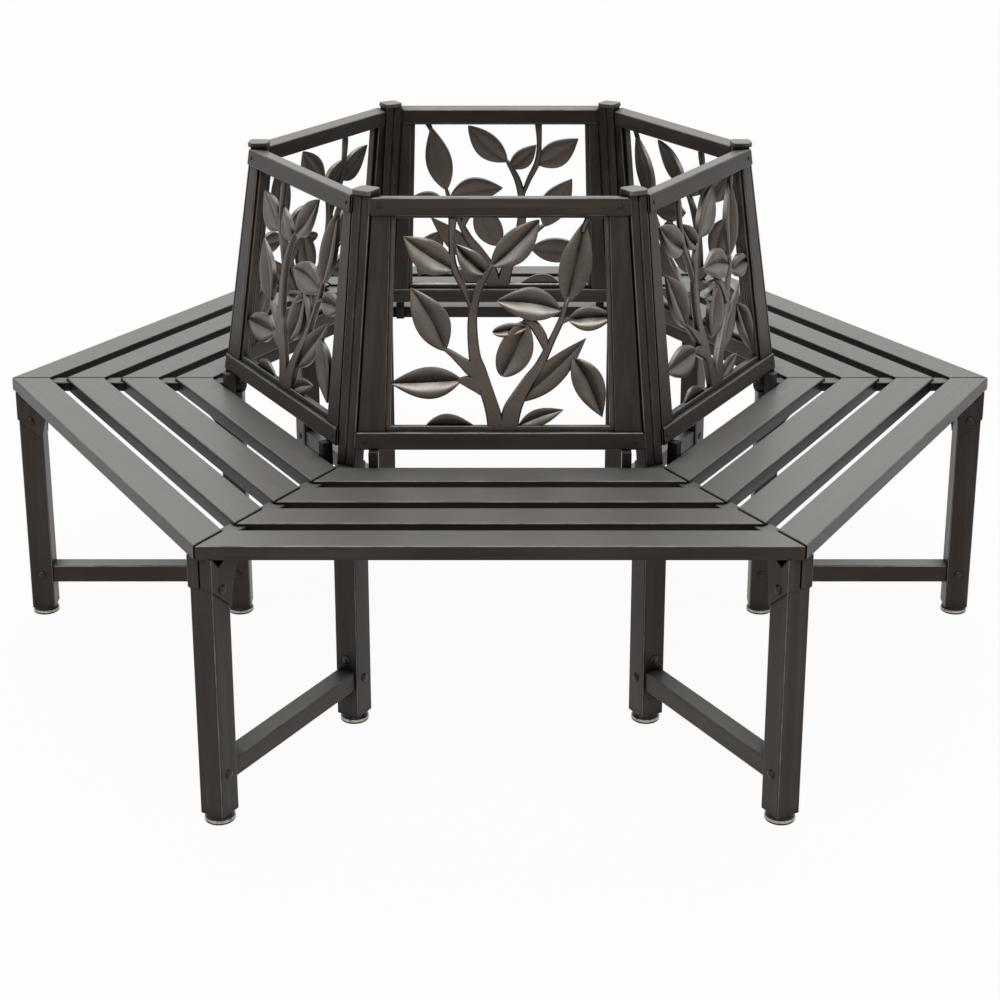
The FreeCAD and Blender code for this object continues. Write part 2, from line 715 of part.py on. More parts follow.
def make_leaf_casting():
    """A thin rim with a forked stem and leaves, one casting, drawn in the panel's frame."""
    low, high = number("rail_size"), number("back_slope - rail_size")
    stretch_up = (high - low) / DRAWN_HEIGHT
    stretch_across = number(opening_half_width("back_slope / 2")) / DRAWN_HALF_WIDTH
    swell = max(stretch_up, stretch_across)

    def drawn(across, up):
        return FreeCAD.Vector(across * stretch_across, 0, low + up * stretch_up)

    def trapezoid(side, bottom, top):
        def edge(height):
            return number(opening_half_width(height)) - side

        corners = [
            FreeCAD.Vector(-edge(bottom), 0, bottom),
            FreeCAD.Vector(edge(bottom), 0, bottom),
            FreeCAD.Vector(edge(top), 0, top),
            FreeCAD.Vector(-edge(top), 0, top),
        ]
        return Part.Face(Part.makePolygon(corners + corners[:1]))

    fit = number("casting_fit")
    whole = trapezoid(fit, low, high - fit)
    opening = trapezoid(number("casting_side_rim"), low + number("casting_bottom_rim"),
                        high - number("casting_top_rim"))
    depth = FreeCAD.Vector(0, number("casting_depth"), 0)
    growth = []
    for stem in STEMS:
        growth.append(smooth_strip([drawn(across, up) for across, up, width in stem],
                                   [width * swell for across, up, width in stem]))
    for base, tip, width, bend in LEAVES:
        growth.append(leaf_face(drawn(*base), drawn(*tip), width * swell, bend * swell))
    shape = whole.cut(opening).extrude(depth)
    shape = shape.fuse([face.extrude(depth) for face in growth])
    shape = shape.common(whole.extrude(depth)).removeSplitter()
    shape.translate(FreeCAD.Vector(0, number("casting_setback"), 0))
    casting = doc.addObject("Part::Feature", "LeafCasting")
    casting.Shape = Part.Solid(shape.Solids[0]) if len(shape.Solids) == 1 else shape
    return lean_back(casting)


def make_lug(height):
    """The solid stub of a post inside a rail's +X end, drawn in the panel's frame."""
    body = new_body("Lug")
    end = outer_face_end(height)
    gap = "(rail_wall + lug_clearance)"
    section = sketch_on(body, "YZ_Plane", f"{end} - lug_length")
    add_rectangle(section, gap, f"{gap} + {LUG_SIZE}", f"{height} + {gap}", f"{height} + {gap} + {LUG_SIZE}")
    pad(body, section, "lug_length + 2 * post_width")
    hole = sketch_on(body, "XZ_Plane")
    middle = f"({height} + rail_size / 2)"
    add_circle(hole, rail_bolt_place(middle), middle, "bolt_diameter + bolt_clearance")
    pocket(body, hole, f"rail_bolt_length + {gap}")
    return lean_back(body)


def lean_along(feature):
    """Make a level section of the post run up the lean of the corner."""
    feature.UseCustomVector = True
    feature.AlongSketchNormal = True
    feature.Direction = FreeCAD.Vector(-number(POST_TILT), 0, 1)
    feature.setExpression("Direction.x", sized(f"-{POST_TILT}"))
    doc.recompute()


def make_post():
    """A leaning tube with a V groove down its outer and inner faces, and a lug for each rail end."""
    body = new_body("PostTube")
    half = "post_width / 2"
    back = f"({POST_FOOT} - post_depth)"
    groove = "post_groove_width / 2"

    def section(wall, turn_in):
        side = f"({half} - {wall})"
        front, rear = f"({POST_FOOT} - {wall})", f"({back} + {wall})"
        lip = f"({groove} + {turn_in})"
        return [
            (front, side), (front, lip), (f"{front} - post_groove_depth", "0"),
            (front, f"-{lip}"), (front, f"-{side}"), (rear, f"-{side}"), (rear, f"-{lip}"),
            (f"{rear} + post_groove_depth", "0"), (rear, lip), (rear, side),
        ]

    height = f"({POST_TOP} - {BAR_TOP})"
    outside = sketch_on(body, "XY_Plane", BAR_TOP)
    add_outline(outside, section("0", "0"))
    tube = pad(body, outside, height)
    corners = number(half) - 0.01
    lean_along(tube)
    round_edges(body, "post_edge_radius", lambda edge: edge.BoundBox.ZLength > TALL_EDGE
                and abs(edge.BoundBox.YMax) > corners and edge.BoundBox.YLength < 0.01)
    inside = sketch_on(body, "XY_Plane", BAR_TOP)
    add_outline(inside, section("post_wall", "post_wall / 2"))
    lean_along(pocket(body, inside, height))

    sector = make_sector_prism("LugSector", "post_width / 2 - lug_weld", LEG_TOP, f"2 * {POST_TOP}")
    result = body
    for height in ("0", "(back_slope - rail_size)"):
        lug = combine("Common", "TrimmedLug", make_lug(height), sector)
        near = gather("LugNear", [lug])
        near.Placement = FreeCAD.Placement(
            FreeCAD.Vector(0, 0, 0), FreeCAD.Rotation(FreeCAD.Vector(0, 0, 1), TURN))
        far = mirrored(near, "LugFar", (0, 1, 0))
        for stub in (near, far):
            result = combine("Fuse", "PostWithLug", result, stub)
    return result


def make_cap():
    """The rounded plate that closes the top of a post."""
    body = new_body("Cap")
    centre = (f"({POST_FOOT} - ({POST_TOP} - {BAR_TOP}) * {POST_TILT}"
              " - post_depth / 2 + cap_shift)")
    half_depth = "(post_depth / 2 + cap_face_overhang)"
    half_width = "(post_width / 2 + cap_side_overhang)"
    plan = sketch_on(body, "XY_Plane", POST_TOP)
    add_rectangle(plan, f"{centre} - {half_depth}", f"{centre} + {half_depth}",
                  f"-{half_width}", half_width)
    pad(body, plan, "cap_height")
    round_edges(body, "cap_corner_radius", lambda edge: runs_along(edge, (0, 0, 1)))
    top = number(f"{POST_TOP} + cap_height")
    round_edges(body, "cap_edge_radius", lambda edge: edge.BoundBox.ZMin > top - 0.01)
    return body


def make_block(side):
    """The spacer between the bottom rail and the innermost slat, near one end of the panel."""
    body = new_body("Block")
    inner = f"({BACK_APOTHEM} - block_rail_cover)"
    far = f"{half_length(inner, RAIL_END_OFFSET)} - block_inset"
    low = "(seat_top - block_drop)"
    top = f"({BACK_BOTTOM} - block_rail_cover * tan(back_lean))"
    plan = sketch_on(body, "XY_Plane", low)
    ends = [f"{side} * ({far})", f"{side} * ({far} - block_width)"]
    add_outline(plan, [
        (ends[0], f"-{SEAT_INNER_APOTHEM}"),
        (ends[1], f"-{SEAT_INNER_APOTHEM}"),
        (ends[1], f"-{inner}"),
        (ends[0], f"-{inner}"),
    ])
    pad(body, plan, f"{top} - {low}")
    return body


def make_bolt(name, shank, second_head):
    """A round-headed bolt along Z, its head's underside at the origin, with a cap nut if through."""
    body = new_body(name)
    half = sketch_on(body, "XZ_Plane")
    corners = [
        ("0", "bolt_head_height"),
        ("0", f"-({shank})"),
        ("bolt_diameter / 2", f"-({shank})"),
        ("bolt_diameter / 2", "0"),
        ("bolt_head_diameter / 2", "0"),
        ("bolt_head_diameter / 2", "bolt_head_height"),
    ]
    if second_head:
        corners[1:3] = [
            ("0", f"-({shank}) - bolt_head_height"),
            ("bolt_head_diameter / 2", f"-({shank}) - bolt_head_height"),
            ("bolt_head_diameter / 2", f"-({shank})"),
            ("bolt_diameter / 2", f"-({shank})"),
        ]
    add_outline(half, corners)
    revolution = body.newObject("PartDesign::Revolution", name + "Revolution")
    revolution.Profile = half
    revolution.ReferenceAxis = (half, ["V_Axis"])
    revolution.Angle = 360
    doc.recompute()
    ends = [number("bolt_head_height")]
    if second_head:
        ends.append(-number(f"{shank} + bolt_head_height"))
    round_edges(body, "bolt_head_radius", lambda edge: len(edge.Vertexes) == 1
                and any(abs(edge.Vertexes[0].Z - level) < 0.01 for level in ends))
    return body


def set_at(piece, name, axis, angle, **place):
    """A copy of the piece turned about an axis and moved to a place given by expressions."""
    copy = gather(name, [piece])
    copy.Placement = FreeCAD.Placement(
        FreeCAD.Vector(0, 0, 0), FreeCAD.Rotation(FreeCAD.Vector(*axis), angle))
    for letter, text in place.items():
        copy.setExpression(f"Placement.Base.{letter}", sized(text))
    return copy


def make_bolts():
    """All the bolts of one corner and one panel."""
    through_bare = make_bolt("ThroughBolt", "leg_size", True)
    through_bracket = make_bolt("BracketBolt", "leg_size + 2 * bracket_sheet", True)
    rail_bolt = make_bolt("RailBolt", "rail_bolt_length", False)
    face_screw = make_bolt("FaceScrew", "face_screw_length", False)
    side, far = "leg_size / 2", "leg_size / 2 + bracket_sheet"
    x_axis, y_axis = (1, 0, 0), (0, 1, 0)
    corner = [
        set_at(through_bare, "OuterLow", x_axis, -90, x=OUTER_LEG, y=side, z="stretcher_centre"),
        set_at(through_bare, "InnerLow", x_axis, -90, x=INNER_LEG, y=side, z="stretcher_centre"),
        set_at(through_bracket, "OuterHigh", x_axis, -90, x=OUTER_LEG, y=far,
               z=f"{LEG_TOP} - bracket_bolt_drop"),
        set_at(through_bracket, "InnerHigh", x_axis, -90, x=INNER_LEG, y=far,
               z=f"{LEG_TOP} - cleat_bolt_drop"),
        set_at(face_screw, "InnerFace", y_axis, 90, x=f"{INNER_LEG} + leg_size / 2", y="0",
               z="stretcher_centre + face_screw_rise"),
    ]
    panel = []
    for low in ("0", "(back_slope - rail_size)"):
        middle = f"({low} + rail_size / 2)"
        for mark in ("", "-"):
            placed = set_at(rail_bolt, "RailEnd", x_axis, 90, x=f"{mark}{rail_bolt_place(middle)}",
                            y="0", z=middle)
            panel.append(lean_back(gather("RailEndOnPanel", [placed])))
    return gather("CornerBolts", corner), gather("PanelBolts", panel)


slats = gather("Seat", [make_slat(row) for row in range(4)])
back_frame = make_back_frame()
casting = make_leaf_casting()
outer_leg = make_outer_leg()
inner_leg = make_inner_leg()
stretcher = make_stretcher()
post = make_post()
seat_bar = make_seat_bar()
cap = make_cap()
blocks = gather("Blocks", [make_block(1), make_block(-1)])
foot = make_foot()
outer_foot = set_at(foot, "FootOutside", (0, 0, 1), 0, x=OUTER_LEG)
inner_foot = set_at(foot, "FootInside", (0, 0, 1), 0, x=INNER_LEG)
wide_bracket = make_bracket("WideBracket", "bracket_wide_gusset", True)
narrow_bracket = mirrored(
    make_bracket("NarrowBracket", "bracket_narrow_gusset", False), "NarrowBracketOther", (0, 1, 0))
outer_brackets = gather("BracketPair", [wide_bracket, narrow_bracket])
cleat = make_cleat()
cleats = gather("CleatPair", [cleat, mirrored(cleat, "CleatOther", (0, 1, 0))])
corner_bolts, panel_bolts = make_bolts()

nodes = []
singles = [
    (slats, "seat_section"),
    (back_frame, "back_frame"),
    (casting, "leaf_insert"),
    (outer_leg, "outer_leg"),
    (inner_leg, "inner_leg"),
    (stretcher, "stretcher"),
    (post, "corner_post"),
    (outer_foot, "outer_foot"),
    (inner_foot, "inner_foot"),
]
for master, name in singles:
    for turn in range(SIDES):
        nodes.append(turned(master, f"{name}_{turn + 1}", turn))

groups = [
    ([seat_bar], "seat_bars"),
    ([outer_brackets], "leg_brackets"),
    ([cleats], "leg_cleats"),
    ([blocks], "back_blocks"),
    ([cap], "post_caps"),
    ([corner_bolts, panel_bolts], "bolts"),
]
for masters, name in groups:
    copies = [turned(master, f"{name}_part", turn) for master in masters for turn in range(SIDES)]
    nodes.append(gather(name, copies))

doc.recompute()

for item in doc.Objects:
    if "Invalid" in item.State or "Error" in item.State:
        raise RuntimeError(f"{item.Name} did not build: {item.State}")
    if item.TypeId == "PartDesign::Pocket":
        if item.Shape.Volume > item.BaseFeature.Shape.Volume - 1:
            raise RuntimeError(f"{item.Name} removes nothing")

os.makedirs("parts", exist_ok=True)
for node in nodes:
    if node.Shape.isNull() or not node.Shape.isValid():
        raise RuntimeError(f"{node.Label} has no valid shape")
    node.Shape.exportStep(f"parts/{node.Label}.step")
    box = node.Shape.BoundBox
    print(f"{node.Label}: {len(node.Shape.Solids)} solids, {node.Shape.Volume / 1000:.1f} cm3,"
          f" z {box.ZMin:.1f} to {box.ZMax:.1f}")
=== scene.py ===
"""Looks of a hexagonal metal tree bench: coated steel, cast leaves, feet, bolts and a studio."""

import math

import bmesh
import bpy
from bpy.props import FloatProperty, FloatVectorProperty, PointerProperty
from mathutils import Matrix, Vector


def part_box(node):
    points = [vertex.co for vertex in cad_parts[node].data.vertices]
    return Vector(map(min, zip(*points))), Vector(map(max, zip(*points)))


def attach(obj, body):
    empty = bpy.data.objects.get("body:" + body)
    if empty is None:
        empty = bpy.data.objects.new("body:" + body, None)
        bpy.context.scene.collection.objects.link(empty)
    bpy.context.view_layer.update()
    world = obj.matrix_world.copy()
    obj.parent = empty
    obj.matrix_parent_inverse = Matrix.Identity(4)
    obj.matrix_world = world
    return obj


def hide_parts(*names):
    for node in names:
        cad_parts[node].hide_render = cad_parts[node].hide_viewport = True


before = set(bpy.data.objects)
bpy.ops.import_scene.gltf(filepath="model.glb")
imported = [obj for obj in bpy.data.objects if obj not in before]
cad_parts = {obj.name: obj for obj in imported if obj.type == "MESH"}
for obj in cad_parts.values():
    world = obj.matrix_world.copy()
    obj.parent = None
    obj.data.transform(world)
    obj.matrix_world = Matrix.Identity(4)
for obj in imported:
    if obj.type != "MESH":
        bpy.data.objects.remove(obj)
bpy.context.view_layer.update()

bl_info = {
    "name": "Tree Bench",
    "version": (1, 0, 0),
    "blender": (4, 5, 0),
    "location": "3D View > Sidebar > Tree Bench",
    "description": "Finishes a hexagonal tree bench: coated steel, cast leaves, feet and a studio",
    "category": "Object",
}

SIDES = 6
TURN = math.tau / SIDES
MM = 0.001

# Places of the CAD pieces at the front, and at the corner that lies along +X, in metres.
SEAT_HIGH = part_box("seat_section_1")[1]
OUTER_LEG_LOW, OUTER_LEG_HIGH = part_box("outer_leg_1")
INNER_LEG_LOW, INNER_LEG_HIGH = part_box("inner_leg_1")
STRETCHER_LOW, STRETCHER_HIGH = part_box("stretcher_1")

# The backs stand behind the seat's inner edge, above its top, and lean in.
BACK_REACH = -SEAT_HIGH[1] - 10.8 * MM
BACK_RISE = SEAT_HIGH[2] + 22 * MM
BACK_LEAN = math.radians(7.2)
# The opening in a back frame, up the slope from the back's foot.
OPENING = (26 * MM, 340 * MM)


def linear(code):
    """An sRGB hex value as linear red, green and blue."""
    parts = [int(code[place:place + 2], 16) / 255 for place in (1, 3, 5)]
    return [part / 12.92 if part <= 0.04045 else ((part + 0.055) / 1.055) ** 2.4 for part in parts]


def colour_property(name, description, code):
    """A colour that a user can change, written as an sRGB hex value."""
    return FloatVectorProperty(name=name, description=description, subtype="COLOR", size=3,
                               min=0, max=1, default=linear(code))


def length_property(name, description, metres):
    """A length that a user can change."""
    return FloatProperty(name=name, description=description, unit="LENGTH", min=0, default=metres)


def add_object(name, data):
    """An object in the scene that shows this mesh, lamp or camera."""
    made = bpy.data.objects.new(name, data)
    bpy.context.scene.collection.objects.link(made)
    return made


# Sizes and colours


class CastingSizes(bpy.types.PropertyGroup):
    """Where the leaf castings stand, and how deep their relief is."""

    lean: FloatProperty(name="Lean", description="How far the backs lean in from upright",
                        subtype="ANGLE", default=BACK_LEAN)
    reach: length_property("Reach", "From the bench's middle to the foot of a back", BACK_REACH)
    rise: length_property("Rise", "From the ground to the foot of a back", BACK_RISE)
    low: length_property("Opening foot", "Up the slope to the opening in the frame", OPENING[0])
    high: length_property("Opening head", "Up the slope to the opening's top", OPENING[1])
    half_low: length_property("Half width, foot", "Half the opening's width, foot", 165.2 * MM)
    half_high: length_property("Half width, head", "Half the opening's width, top", 154.5 * MM)
    middle: length_property("Middle", "From the back's outer face to the casting's middle", 13 * MM)
    depth: length_property("Depth", "Thickness of the rim and the trunk", 10 * MM)
    leaf_crown: length_property("Leaf crown", "How far a leaf's halves rise from its rib", 6.6 * MM)


class Finishes(bpy.types.PropertyGroup):
    """Colours of the paint, the castings, the small parts and the floor."""

    steel: colour_property("Steel coat", "Dark bronze coat on the tubes and slats", "#2B231D")
    # Also the edges' line, part coat rubbed thin and part painted highlight.
    rubbed: colour_property("Rubbed bronze", "Warm bronze where the coat is rubbed thin", "#928980")
    # Painted top light: the paler grey that up-facing surfaces are painted with.
    wear_and_painted_light: colour_property("Worn tops", "Grey of the tops, rubbed the most and dusty", "#84827E")
    casting: colour_property("Casting coat", "Metallic bronze coat on the leaf castings", "#524A43")
    cap: colour_property("Cap coat", "Bronze coat on the post caps", "#504A45")
    bolt: colour_property("Bolt coat", "Darker coat on the rails' bolts", "#231F1C")
    foot: colour_property("Foot enamel", "Black enamel of the levelling feet", "#12100E")
    # The colour of the painted highlight round the feet's rim.
    painted_rim_highlight: colour_property("Bare rim", "Bright steel along the feet's rim", "#A5A099")
    floor: colour_property("Floor", "Pale studio floor", "#C4C4C4")


# Materials


def add_node(tree, kind, inputs=None, **settings):
    """Adds a node. Each input is a value for its socket, or a socket or a node to link to it."""
    node = tree.nodes.new(kind)
    for name, value in settings.items():
        setattr(node, name, value)
    for name, value in (inputs or {}).items():
        if isinstance(value, bpy.types.Node):
            value = next(socket for socket in value.outputs if socket.enabled)
        if isinstance(value, bpy.types.NodeSocket):
            tree.links.new(value, node.inputs[name])
        else:
            node.inputs[name].default_value = value
    return node


def new_material(name):
    """An empty material with the object's own coordinates, which are the bench's, in metres."""
    material = bpy.data.materials.new(name)
    material.use_nodes = True
    tree = material.node_tree
    tree.nodes.clear()
    return material, tree, add_node(tree, "ShaderNodeTexCoord").outputs["Object"]


def finish_material(tree, inputs):
    """Adds the shader with these inputs and the output that takes it."""
    shader = add_node(tree, "ShaderNodeBsdfPrincipled", inputs)
    add_node(tree, "ShaderNodeOutputMaterial", {"Surface": shader})


def shade(rgb, share=1.0):
    """A colour for a socket, at a share of its brightness."""
    return (*(part * share for part in rgb), 1)


MATH, RANGE = "ShaderNodeMath", "ShaderNodeMapRange"
MIX, NOISE = "ShaderNodeMix", "ShaderNodeTexNoise"
OCCLUSION = "ShaderNodeAmbientOcclusion"
SOFT = {"interpolation_type": "SMOOTHSTEP"}
COLOUR = {"data_type": "RGBA"}
DARKEN = {"data_type": "RGBA", "blend_type": "MULTIPLY"}

# Across the three pairs of sides.
HEXAGON_SIDES = [(0, 1, 0), (math.cos(TURN / 2), 0.5, 0), (-math.cos(TURN / 2), 0.5, 0)]
# How slowly a streak changes along its member, as a share of how fast it changes across.
STRETCH = 0.03
# The stiles of a back show between these heights.
STILE_HEIGHTS = [BACK_RISE + up * math.cos(BACK_LEAN) for up in OPENING]
# A thin lacquer over a matt coat: the weight and roughness of the one, and the gloss of the other.
LACQUER = 0.18
LACQUER_ROUGHNESS = 0.34
PAINT_GLOSS = 0.16


def lengthwise(tree, place, run):
    """Coordinates that change fast across a member and slowly along it.

    Members run round the bench beside its six sides, from its middle to a corner, or upright. A
    frame is upright between its two rails and runs round the bench at them.
    """
    upright = add_node(tree, "ShaderNodeVectorMath", {0: place, 1: (1, 1, STRETCH)},
                       operation="MULTIPLY")
    if run == "upright":
        return upright
    height = add_node(tree, "ShaderNodeSeparateXYZ", {"Vector": place}).outputs["Z"]
    offsets = []
    for side in HEXAGON_SIDES:
        reach = add_node(tree, "ShaderNodeVectorMath", {0: place, 1: side}, operation="DOT_PRODUCT")
        offsets.append(add_node(tree, MATH, {0: reach}, operation="ABSOLUTE"))
    pick = "MINIMUM" if run == "radial" else "MAXIMUM"
    either = add_node(tree, MATH, {0: offsets[0], 1: offsets[1]}, operation=pick)
    across = add_node(tree, MATH, {0: either, 1: offsets[2]}, operation=pick)
    fast = add_node(tree, "ShaderNodeCombineXYZ", {"X": across, "Y": height})
    slow = add_node(tree, "ShaderNodeVectorMath", {0: place, "Scale": STRETCH}, operation="SCALE")
    level = add_node(tree, "ShaderNodeVectorMath", {0: fast, 1: slow}, operation="ADD")
    if run != "frame":
        return level
    low, high = STILE_HEIGHTS
    over = add_node(tree, MATH, {0: height, 1: low}, operation="GREATER_THAN")
    under = add_node(tree, MATH, {0: height, 1: high}, operation="LESS_THAN")
    stile = add_node(tree, MATH, {0: over, 1: under}, operation="MULTIPLY")
    return add_node(tree, MIX, {"Factor": stile, "A": level, "B": upright}, data_type="VECTOR")


def rounded_edges(tree, place, run):
    """1 in the middle of the rounded edges of the tubes and slats, 0 on their flats.

    A member round the bench is square to its side, and any other is square to its corner, so the
    bearing that a surface faces is taken from that of its side or corner: a flat is then a multiple
    of 90 degrees.
    """
    normal = add_node(tree, "ShaderNodeNewGeometry").outputs["Normal"]
    facing = add_node(tree, "ShaderNodeSeparateXYZ", {"Vector": normal})
    height = add_node(tree, MATH, {0: facing.outputs["Z"]}, operation="ABSOLUTE")
    tipped = add_node(tree, RANGE, {"Value": height, "From Min": 0.3, "From Max": 0.55}, **SOFT)
    unlevel = add_node(tree, RANGE, {"Value": height, "From Min": 0.93, "From Max": 0.8}, **SOFT)
    sloping = add_node(tree, MATH, {0: tipped, 1: unlevel}, operation="MULTIPLY")

    first = TURN / 2 if run in ("round", "frame") else 0.0
    parts = add_node(tree, "ShaderNodeSeparateXYZ", {"Vector": place})
    stand = add_node(tree, MATH, {0: parts.outputs["Y"], 1: parts.outputs["X"]},
                     operation="ARCTAN2")
    offset = add_node(tree, MATH, {0: stand, 1: first}, operation="SUBTRACT")
    nearest = add_node(tree, MATH, {0: offset, 1: TURN}, operation="DIVIDE")
    number = add_node(tree, MATH, {0: nearest}, operation="ROUND")
    own = add_node(tree, MATH, {0: number, 1: TURN, 2: first}, operation="MULTIPLY_ADD")
    bearing = add_node(tree, MATH, {0: facing.outputs["Y"], 1: facing.outputs["X"]},
                       operation="ARCTAN2")
    turned = add_node(tree, MATH, {0: bearing, 1: own}, operation="SUBTRACT")
    quarters = add_node(tree, MATH, {0: turned, 1: 4.0}, operation="MULTIPLY")
    flatness = add_node(tree, MATH, {0: quarters}, operation="COSINE")
    between = add_node(tree, RANGE, {"Value": flatness, "From Min": -0.2, "From Max": -0.8}, **SOFT)
    upright = add_node(tree, RANGE, {"Value": height, "From Min": 0.3, "From Max": 0.15}, **SOFT)
    corner = add_node(tree, MATH, {0: between, 1: upright}, operation="MULTIPLY")
    return add_node(tree, MATH, {0: sloping, 1: corner}, operation="MAXIMUM")


def rubbed_bronze(name, colours, base, run, painted_light_tops=(0.8, 0.96, 0.57), rub_and_highlight=0.45, metallic=0.4,
                  roughness=0.4, peel=0.12):
    """Antique bronze powder coat, baked on steel or cast metal, rubbed by hand and lacquered.

    The coat is dark bronze. Rubbing along each member leaves faint lengthwise streaks that lean to
    brown, and the rounded edges get a warm line, part coat rubbed thin, part painted highlight.
    Fine flake glints in it, painted shade darkens the slots and inner corners and the lacquer's
    sheen there, and the lacquer lays a neutral satin sheen with a slight orange peel over all.

    run says how the members lie, as in lengthwise, and is None for cast pieces without streaks.
    painted_light_tops says how far up a surface has to face to be painted paler as painted top
    light, how far for the most, and how pale it is then.
    """
    material, tree, place = new_material(name)
    # The coat is thicker and thinner over about 140 mm.
    cloud = add_node(tree, NOISE, {"Vector": place, "Scale": 1 / (143 * MM), "Detail": 3})
    clouded = add_node(tree, RANGE, {"Value": cloud, "From Min": 0.3, "From Max": 0.7}, **SOFT)
    tone = add_node(tree, MIX, {"Factor": clouded, "A": shade(base, 0.8),
                                "B": shade(base, 1.24)}, **COLOUR)

    if run:
        # Streaks about 9 mm wide from the rubbing pad, with finer ones of 2 mm inside them.
        along = lengthwise(tree, place, run)
        pad = add_node(tree, NOISE, {"Vector": along, "Scale": 1 / (18 * MM), "Detail": 2})
        grain = add_node(tree, NOISE, {"Vector": along, "Scale": 1 / (4 * MM), "Detail": 3})
        brown = add_node(tree, RANGE, {"Value": pad, "From Min": 0.45, "From Max": 0.75,
                                       "To Max": 0.2}, **SOFT)
        tone = add_node(tree, MIX, {"Factor": brown, "A": tone,
                                    "B": shade(colours.rubbed, 0.3)}, **COLOUR)
    else:
        # The sand of the mould leaves grain of about 1.5 mm.
        grain = add_node(tree, NOISE, {"Vector": place, "Scale": 1 / (3 * MM), "Detail": 4})
    drawn = add_node(tree, RANGE, {"Value": grain, "From Min": 0.3, "From Max": 0.75, "To Min": 0.9,
                                   "To Max": 1.14}, **SOFT)
    tone = add_node(tree, MIX, {"Factor": 1.0, "A": tone, "B": drawn}, **DARKEN)

    # Flake of about 0.1 mm, drawn ten times coarser so that it shows.
    flake = add_node(tree, "ShaderNodeTexVoronoi", {"Vector": place, "Scale": 1 / (1.0 * MM)})
    glint = add_node(tree, RANGE, {"Value": flake, "From Min": 0.25, "From Max": 0.05,
                                   "To Max": 0.14}, **SOFT)
    tone = add_node(tree, MIX, {"Factor": glint, "A": tone,
                                "B": shade(colours.rubbed, 0.6)}, **COLOUR)

    # Painted top light: surfaces that face up are painted paler, as light from above makes them.
    normal = add_node(tree, "ShaderNodeNewGeometry").outputs["Normal"]
    height = add_node(tree, "ShaderNodeSeparateXYZ", {"Vector": normal}).outputs["Z"]
    start, full, paleness = painted_light_tops
    top = add_node(tree, RANGE, {"Value": height, "From Min": start, "From Max": full,
                                 "To Max": paleness}, **SOFT)
    tone = add_node(tree, MIX, {"Factor": top, "A": tone, "B": shade(colours.wear_and_painted_light)}, **COLOUR)

    if rub_and_highlight:
        # The edges' line, part rubbed coat, part painted highlight, comes and goes over about 30
        # mm.
        wear = add_node(tree, NOISE, {"Vector": place, "Scale": 1 / (33 * MM), "Detail": 5})
        wear_and_painted_light = add_node(tree, RANGE, {"Value": wear, "From Min": 0.3, "From Max": 0.65,
                                      "To Min": 0.35 * rub_and_highlight, "To Max": rub_and_highlight}, **SOFT)
        edge_rub_and_highlight = add_node(tree, MATH, {0: wear_and_painted_light, 1: rounded_edges(tree, place, run)},
                        operation="MULTIPLY")
        tone = add_node(tree, MIX, {"Factor": edge_rub_and_highlight, "A": tone,
                                    "B": shade(colours.rubbed)}, **COLOUR)

    # Painted shade darkens slots and inner corners with metal within 30 mm, and their lacquer too.
    corner = add_node(tree, OCCLUSION, {"Distance": 30 * MM}, samples=4).outputs["AO"]
    painted_shade = add_node(tree, RANGE, {"Value": corner, "From Min": 0.6, "From Max": 0.92,
                                 "To Min": 0.04})
    tone = add_node(tree, MIX, {"Factor": 1.0, "A": tone, "B": painted_shade}, **DARKEN)
    lacquer_in_painted_shade = add_node(tree, MATH, {0: painted_shade, 1: LACQUER}, operation="MULTIPLY")
    satin = add_node(tree, RANGE, {"Value": grain, "From Min": 0.3, "From Max": 0.7,
                                   "To Min": roughness - 0.03, "To Max": roughness + 0.05}, **SOFT)
    # Orange peel of 2 mm over the whole coat, as deep as asked in millimetres.
    skin = add_node(tree, NOISE, {"Vector": place, "Scale": 1 / (2.2 * MM), "Detail": 2})
    bump = add_node(tree, "ShaderNodeBump", {"Strength": 0.08, "Distance": peel * MM,
                                             "Height": skin})
    finish_material(tree, {"Base Color": tone, "Roughness": satin, "Normal": bump,
                           "Metallic": metallic, "Specular IOR Level": PAINT_GLOSS,
                           "Coat Weight": lacquer_in_painted_shade, "Coat Roughness": LACQUER_ROUGHNESS,
                           "Coat Normal": bump})
    return material


# A painted highlight of bright steel runs round the feet's rim between these heights.
PAINTED_RIM_HIGHLIGHT_HEIGHTS = (2.6 * MM, 7.2 * MM)


